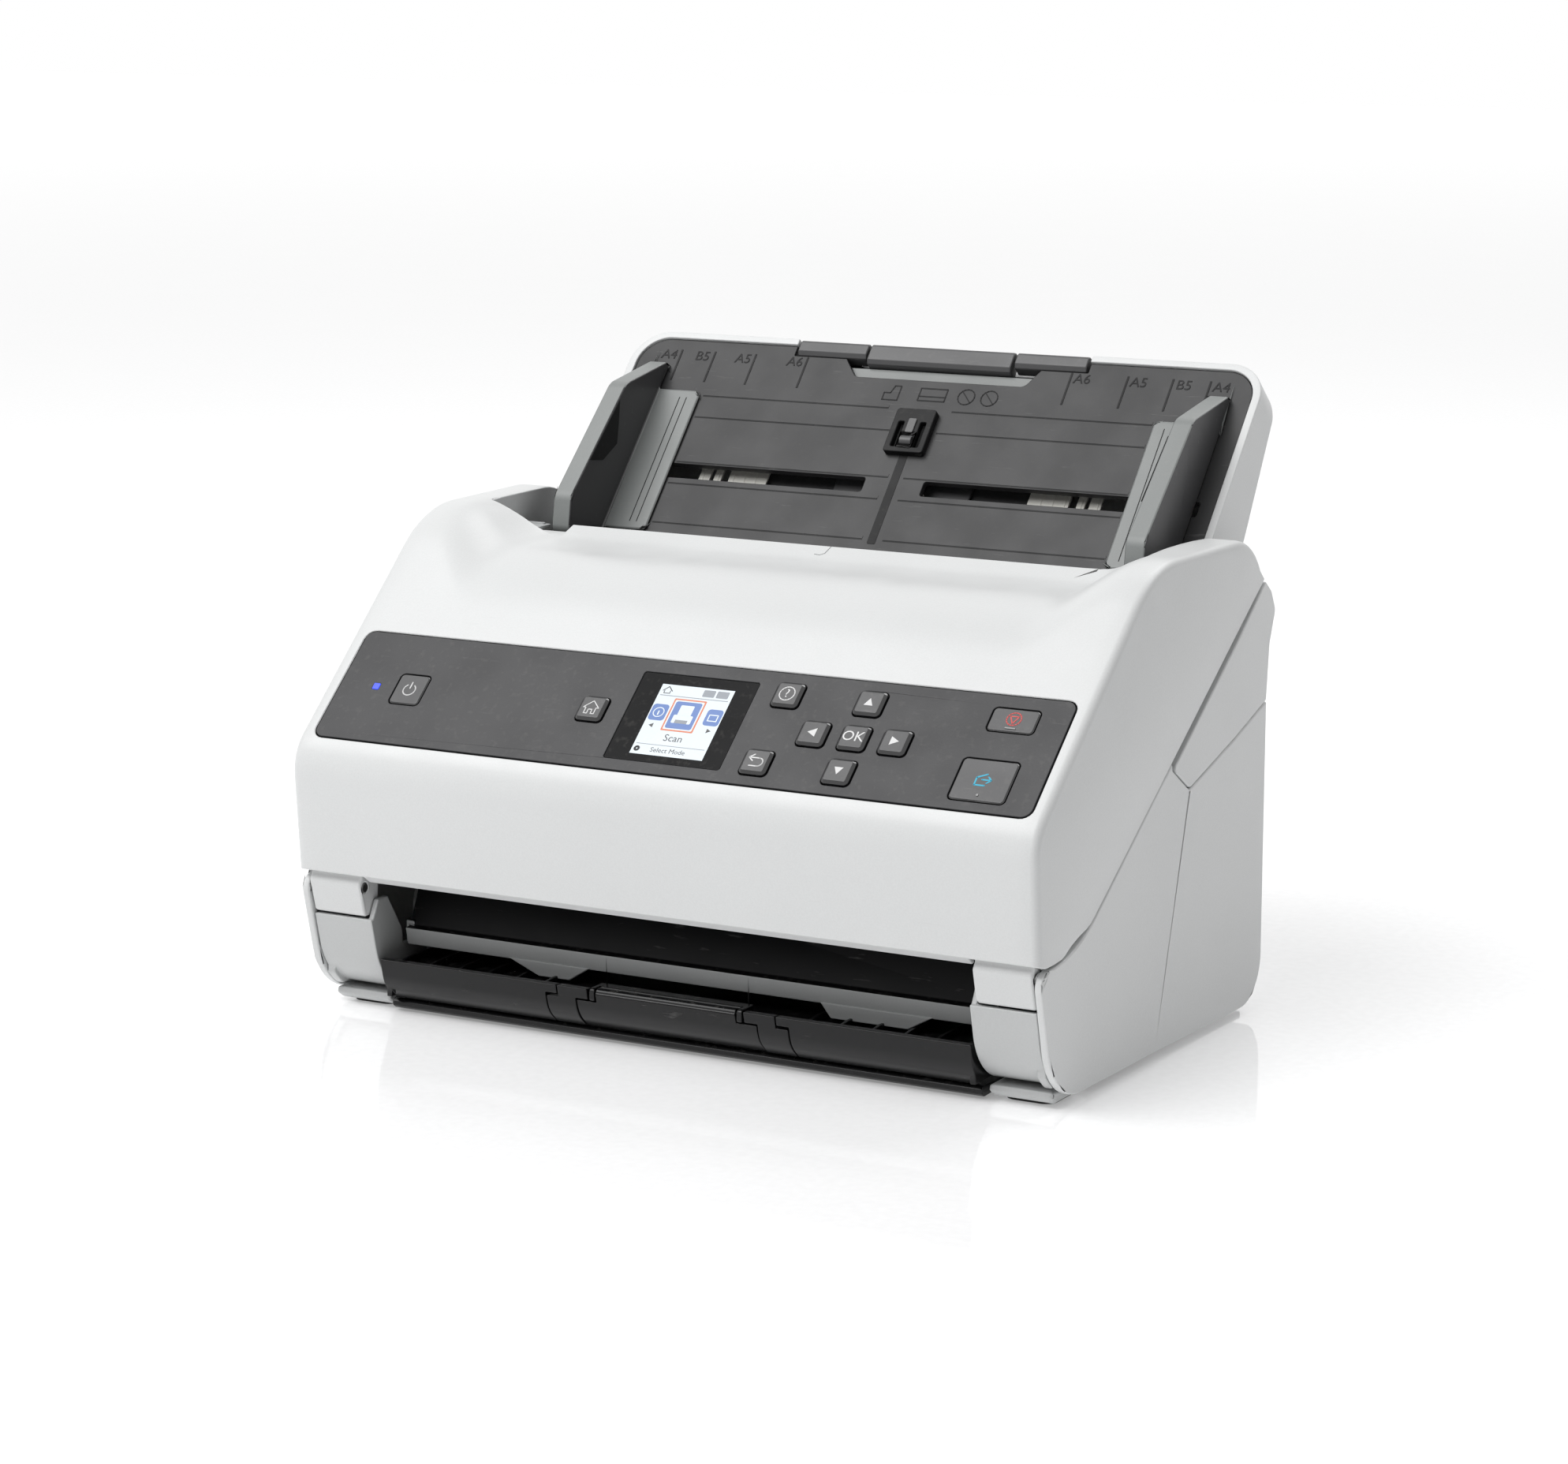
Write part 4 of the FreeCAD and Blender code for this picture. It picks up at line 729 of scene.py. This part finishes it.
# %% Sheet size marks
MARK = (-0.05, 0.14)    # the marks stand this far out of the tray, in millimetres
marks = bmesh.new()
for side in (-1, 1):
    for x, label in ((52.5, "A6"), (74, "A5"), (91, "B5"), (105, "A4")):
        merge_into(marks, prism(rectangle(side * x, 6.7, 0.7, 13.4), -0.05, 0.16, TRAY))
        offset = 4.6 if side > 0 else -4.6
        letters(marks, label, side * x + offset, 11.0, 5.6, *MARK, TRAY)
    letters(marks, "LTR", side * 110.2, 4.6, 4.4, *MARK, TRAY)
    merge_into(marks, prism(rectangle(side * 108.0, 0.4, 0.6, 5.0), -0.05, 0.16, TRAY))

face_up = [(-17, -2.5), (-17, 0.5), (-14.5, 0.5), (-13.5, 3.5), (-11, 3.5), (-11, -2.5)]
stroke(marks, face_up, 0.4, *MARK, TRAY, closed=True)
stroke(marks, [(-3, -2), (7.5, -2), (7.5, 3.2), (-3, 3.2)], 0.45, *MARK, TRAY, closed=True)
stroke(marks, [(-3, -0.2), (7.5, -0.2)], 0.4, *MARK, TRAY)
for x in (15.5, 24.5):
    stroke(marks, circle_points(x, 0.6, 3.2)[:-1], 0.4, *MARK, TRAY, closed=True)
    stroke(marks, [(x - 2.1, 2.9), (x + 2.1, -1.7)], 0.4, *MARK, TRAY)
to_object("tray_marks", marks, [TRAY_PRINT_AND_SHADOW], "base")

# %% The clip, and the painted shade of the groove below it
clip = prism(rectangle(0, -16.3, 15.6, 18.4), -0.4, 2.6, TRAY, corner=1.2)
clip_piece = to_object("sheet_clip", clip, [BLACK_MATT], "base")
for x in (-4.3, 4.3):
    carve(clip_piece, prism(rectangle(x, -18.0, 2.2, 10.5), 0.2, 5, TRAY, corner=0.5))
carve(clip_piece, prism(rectangle(0, -20.4, 5.6, 6.4), 0.2, 5, TRAY, corner=0.5))
round_edges(clip_piece, 0.45, 3)
tongue = bmesh.new()
bmesh.ops.create_cone(tongue, cap_ends=True, segments=28, radius1=2.0, radius2=2.0, depth=4.6)
across = Matrix.Translation((0, -20.4, 1.6)) @ Matrix.Rotation(math.pi / 2, 4, "Y")
bmesh.ops.transform(tongue, matrix=TRAY @ across, verts=tongue.verts)
merge_into(tongue, prism(rectangle(0, -14.5, 3.2, 6.0), 1.6, 3.1, TRAY, corner=0.6))
round_edges(to_object("sheet_clip_tongue", tongue, [TRAY_EDGE], "base"), 0.25, 2)
# The groove is not cut. A flat strip of matt black lies on the face: painted shade for the groove's depth.
groove_shade = prism([(-1.7, -25.3), (1.5, -25.3), (1.5, -62.5), (-1.7, -62.5)], -0.15, 0.12, TRAY, corner=0.5)
to_object("tray_groove_shade", groove_shade, [BLACK_MATT], "base")

# %% [markdown]
# ## The control panel
# The panel is dark with a fine grain. A key has a matt top and a polished sloping edge, so it is made as a
# prism whose top face is inset and raised: the ring that the inset leaves is the edge, and takes its own
# gloss.

# %% Dress the panel
dress("control_panel", [PANEL_DARK], 0.25, 2)
PROUD = 1.3
FLUSH = 0.2
KEYS = {
    "power_button": (-105.5, 0.0, 11.6, 12.4, FLUSH), "home_button": (-33.5, 0.0, 9.8, 9.8, PROUD),
    "help_button": (34.0, 13.6, 9.8, 9.8, PROUD), "back_button": (34.0, -13.8, 9.8, 9.8, PROUD),
    "left_button": (49.0, -0.4, 9.8, 9.8, PROUD), "ok_button": (63.7, -0.4, 9.8, 9.8, PROUD),
    "right_button": (78.3, -0.4, 9.8, 9.8, PROUD), "up_button": (63.8, 13.6, 9.8, 9.8, PROUD),
    "down_button": (63.8, -14.0, 9.8, 9.8, PROUD), "stop_button": (114.5, 13.1, 16.2, 9.2, FLUSH),
    "start_button": (113.3, -10.8, 19.4, 16.2, FLUSH),
}
for name, (u, v, width, height, top) in KEYS.items():
    edge = 0.95 if top == PROUD else 0.45
    drop = 0.75 if top == PROUD else 0.35
    key = prism(rectangle(u, v, width, height), -3.0, top - drop, PANEL, corner=1.6)
    lid = max(key.faces, key=lambda f: (PANEL.inverted() @ f.calc_center_median()).z)
    out = (PANEL.to_3x3() @ Vector((0, 0, 1))).normalized()
    ring = bmesh.ops.inset_region(key, faces=[lid], thickness=edge * MM)["faces"]
    bmesh.ops.translate(key, verts=lid.verts, vec=out * drop * MM)
    for face in key.faces:
        face.material_index = 1
    lid.material_index = 0
    merge_into(key, prism(rectangle(u, v, width + 2.4, height + 2.4), -3.4, -2.3, PANEL, corner=1.6), 1)
    piece = to_object(name + "_cap", key, [KEY_TOP, KEY_SIDE], name, (name,))
    round_edges(piece, 0.12, 2, angle=20)

# %% Prints on the keys
def print_on(name, strokes, ink, polygons=(), text=None, size=5.2):
    """Thin print on a key, drawn about the key's middle."""
    u, v, width, height, top = KEYS[name]
    bm = bmesh.new()
    low, high = top - 0.02, top + 0.05
    for points, thick, closed in strokes:
        stroke(bm, [(u + x, v + y) for x, y in points], thick, low, high, PANEL, closed=closed)
    for points in polygons:
        merge_into(bm, prism([(u + x, v + y) for x, y in points], low, high, PANEL))
    if text:
        letters(bm, text, u, v, size, low, high, PANEL)
    to_object(name + "_print", bm, [ink], name)


print_on("power_button", [(circle_points(0, -0.2, 2.3, 125, 415), 0.42, False),
                          ([(0, 0.4), (0, 2.9)], 0.42, False)], INK_WHITE)
house = [(-2.9, -0.2), (0, 2.6), (2.9, -0.2), (1.9, -0.2), (1.9, -2.6), (0.7, -2.6), (0.7, -0.9),
         (-0.7, -0.9), (-0.7, -2.6), (-1.9, -2.6), (-1.9, -0.2)]
print_on("home_button", [(house, 0.32, True)], INK_WHITE)
print_on("help_button", [(circle_points(0, 0, 2.7)[:-1], 0.38, True)], INK_WHITE, text="?", size=4.6)
print_on("back_button", [([(-1.0, 2.4), (-2.6, 1.1), (-1.0, -0.2)], 0.42, False),
                         ([(-2.4, 1.1), (1.2, 1.1)], 0.42, False),
                         (circle_points(1.2, -0.5, 1.6, 90, -90, 10), 0.42, False),
                         ([(1.2, -2.1), (-1.6, -2.1)], 0.42, False)], INK_WHITE)
print_on("ok_button", [], INK_WHITE, text="OK", size=5.4)
print_on("left_button", [], INK_WHITE, polygons=[[(-1.7, 0), (1.3, -1.7), (1.3, 1.7)]])
print_on("right_button", [], INK_WHITE, polygons=[[(1.7, 0), (-1.3, 1.7), (-1.3, -1.7)]])
print_on("up_button", [], INK_WHITE, polygons=[[(0, 1.6), (-1.6, -1.3), (1.6, -1.3)]])
print_on("down_button", [], INK_WHITE, polygons=[[(0, -1.6), (1.6, 1.3), (-1.6, 1.3)]])
print_on("stop_button", [(circle_points(0, 0.5, 2.5)[:-1], 0.4, True),
                         ([(-1.5, 1.5), (1.5, 1.5), (0, -1.3)], 0.4, True)], INK_RED)
print_on("start_button", [([(0.6, 2.4), (-2.6, 0.9), (-2.6, -2.0), (0.9, -2.0)], 0.55, False),
                          ([(-0.6, 0.2), (2.6, 0.2), (1.3, 1.4)], 0.5, False),
                          ([(2.6, 0.2), (1.3, -1.0)], 0.5, False)],
         INK_CYAN)
tactile = bmesh.new()
merge_into(tactile, prism(rectangle(114.5, 9.9, 3.6, 0.5), 0.15, 0.4, PANEL))
to_object("stop_button_bar", tactile, [KEY_SIDE], "stop_button")
dot = prism(rectangle(113.3, -16.6, 0.8, 0.8), 0.15, 0.4, PANEL, corner=0.25)
to_object("start_button_dot", dot, [KEY_SIDE], "start_button")

# %% The lamp and the display's picture
lamp = prism(rectangle(-119.0, 0.0, 2.5, 2.5), -1.6, 0.1, PANEL, corner=0.3)
round_edges(to_object("power_lamp", lamp, [LAMP_BLUE], "cover"), 0.1, 2)
picture = bmesh.new()
GLASS_TOP = -0.22
merge_into(picture, prism(rectangle(0.75, -0.85, 27.1, 28.7), GLASS_TOP - 0.03, GLASS_TOP, PANEL), 0)


def tile(x, y, width, height, index, lift=0.02, corner=0.0):
    patch = prism(rectangle(x, y, width, height), GLASS_TOP - 0.02, GLASS_TOP + lift, PANEL, corner=corner)
    merge_into(picture, patch, index)


tile(0.75, 9.0, 25.4, 0.3, 3)
tile(5.5, 11.3, 4.4, 2.8, 3, corner=0.4)
tile(10.6, 11.3, 4.4, 2.8, 3, corner=0.4)
stroke(picture, [(-11.6, 10.9), (-9.9, 12.6), (-8.2, 10.9)], 0.35, GLASS_TOP, GLASS_TOP + 0.03, PANEL, 4)
stroke(picture, [(-11.0, 10.9), (-11.0, 9.9), (-8.8, 9.9), (-8.8, 10.9)], 0.3, GLASS_TOP, GLASS_TOP + 0.03,
       PANEL, 4)
tile(0.2, 1.6, 12.0, 13.2, 2, 0.03, 0.4)
tile(0.2, 1.6, 10.8, 12.0, 0, 0.04, 0.4)
tile(0.2, 1.6, 9.8, 11.0, 1, 0.05, 0.8)
tile(0.2, 0.0, 7.2, 3.4, 0, 0.06, 0.5)
tile(0.2, 3.6, 5.0, 4.2, 0, 0.06, 0.4)
tile(0.2, -1.0, 4.6, 1.4, 3, 0.07)
tile(-9.4, 2.0, 6.0, 6.6, 1, 0.05, 1.2)
tile(11.0, 2.0, 5.8, 6.6, 1, 0.05, 1.2)
stroke(picture, circle_points(-9.4, 2.0, 1.9)[:-1], 0.35, GLASS_TOP, GLASS_TOP + 0.06, PANEL, 0, True)
stroke(picture, [(-9.4, 1.0), (-9.4, 2.4)], 0.5, GLASS_TOP, GLASS_TOP + 0.07, PANEL, 0)
stroke(picture, [(9.4, 0.6), (12.6, 0.6), (12.6, 3.0), (9.4, 3.0)], 0.4, GLASS_TOP, GLASS_TOP + 0.06,
       PANEL, 0, True)
for points in ([(-10.8, -3.4), (-9.2, -2.5), (-9.2, -4.3)], [(12.4, -3.4), (10.8, -4.3), (10.8, -2.5)]):
    merge_into(picture, prism(points, GLASS_TOP - 0.02, GLASS_TOP + 0.04, PANEL), 4)
letters(picture, "Scan", 0.4, -7.9, 3.9, GLASS_TOP - 0.02, GLASS_TOP + 0.04, PANEL, 4)
tile(0.75, -11.0, 25.4, 0.25, 3)
stroke(picture, circle_points(-10.9, -13.1, 0.7)[:-1], 0.8, GLASS_TOP, GLASS_TOP + 0.04, PANEL, 4, True)
letters(picture, "Select Mode", 0.6, -13.1, 2.6, GLASS_TOP - 0.02, GLASS_TOP + 0.04, PANEL, 4)
to_object("display_picture", picture, [GLOW_WHITE, GLOW_BLUE, GLOW_ORANGE, GLOW_GREY, GLOW_INK],
          "cover")

# %% [markdown]
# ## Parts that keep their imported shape
# Gears, shafts and sockets are already right, so they only need their real finishes.

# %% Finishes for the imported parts
PACKED = {
    "cover_frame": BLACK_MATT, "panel_board": CIRCUIT, "lcd_window": SCREEN_BLACK, "upper_sensor": BLACK_MATT,
    "upper_glass": GLASS, "rear_sockets": BLACK_MATT, "side_frames": STEEL, "hinge_pins": STEEL,
    "lower_sensor": BLACK_MATT, "lower_glass": GLASS, "drive_motor": CAN, "drive_belt": RUBBER,
    "main_board": CIRCUIT, "rubber_pads": PAD, "screws": SCREW, "left_rack": NATURAL, "right_rack": NATURAL,
    "guide_pinion": NATURAL, "motor_pulley": STEEL, "feed_roller": NATURAL, "feed_tyres": RUBBER,
    "pickup_roller": RUBBER, "idler_gear": NATURAL, "eject_roller": NATURAL, "eject_tyres": RUBBER,
    "separation_roller": RUBBER, "eject_idlers": GREY,
}
for node, material in PACKED.items():
    data = nodes[node].data
    data.materials.clear()
    data.materials.append(material)
print("packed parts with a finish:", len(PACKED))

# %% [markdown]
# ## Studio
# A pale glossy table, a broad soft light above, in front and to the left, a weaker one from behind, and a
# bright surround.

# %% Floor, lights and camera
table = bmesh.new()
bmesh.ops.create_grid(table, x_segments=1, y_segments=1, size=6.0)
table_mesh = bpy.data.meshes.new("table")
table.to_mesh(table_mesh)
table.free()
floor = bpy.data.objects.new("table", table_mesh)
bpy.context.scene.collection.objects.link(floor)
floor_finish = finish("table top", (0.93, 0.93, 0.935), 0.05, shade=0.01, fineness=300.0, depth=0.000001,
                      scuffs=0.0, dust=0.0, specular=0.5)
table_mesh.materials.append(floor_finish)
lift = floor_finish.node_tree.nodes["Principled BSDF"]
lift.inputs["Emission Color"].default_value = (1, 1, 1, 1)
lift.inputs["Emission Strength"].default_value = 0.24


def soft_light(name, place, target, size, power):
    lamp = bpy.data.lights.new(name, "AREA")
    lamp.shape = "RECTANGLE"
    lamp.size, lamp.size_y = size
    lamp.energy = power
    obj = bpy.data.objects.new(name, lamp)
    obj.location = place
    obj.rotation_euler = (Vector(target) - Vector(place)).to_track_quat("-Z", "Y").to_euler()
    bpy.context.scene.collection.objects.link(obj)
    return obj


soft_light("top", (-0.65, -0.95, 1.75), (0, 0, 0.1), (1.8, 1.4), 39)
soft_light("back", (0.3, 1.1, 1.6), (0, 0, 0.1), (1.6, 0.8), 12)
world = bpy.data.worlds.new("surround")
world.use_nodes = True
sky = world.node_tree
ground = sky.nodes["Background"]
ground.inputs["Color"].default_value = (1, 1, 1, 1)
ray = sky.nodes.new("ShaderNodeLightPath")
seen = calc(sky, "MAXIMUM", ray.outputs["Is Camera Ray"], ray.outputs["Is Glossy Ray"])
sky.links.new(spread(sky, seen, 0.0, 1.0, 0.17, 1.0), ground.inputs["Strength"])
bpy.context.scene.world = world
bpy.context.scene.view_settings.view_transform = "Standard"

lens = bpy.data.cameras.new("camera")
lens.lens = 97.74
lens.sensor_width = 36.0
camera = bpy.data.objects.new("camera", lens)
camera.location = (0.69124, -1.23893, 0.37074)
camera.rotation_euler = (math.radians(90 - 11.118), 0, math.radians(29.488))
bpy.context.scene.collection.objects.link(camera)
bpy.context.scene.camera = camera
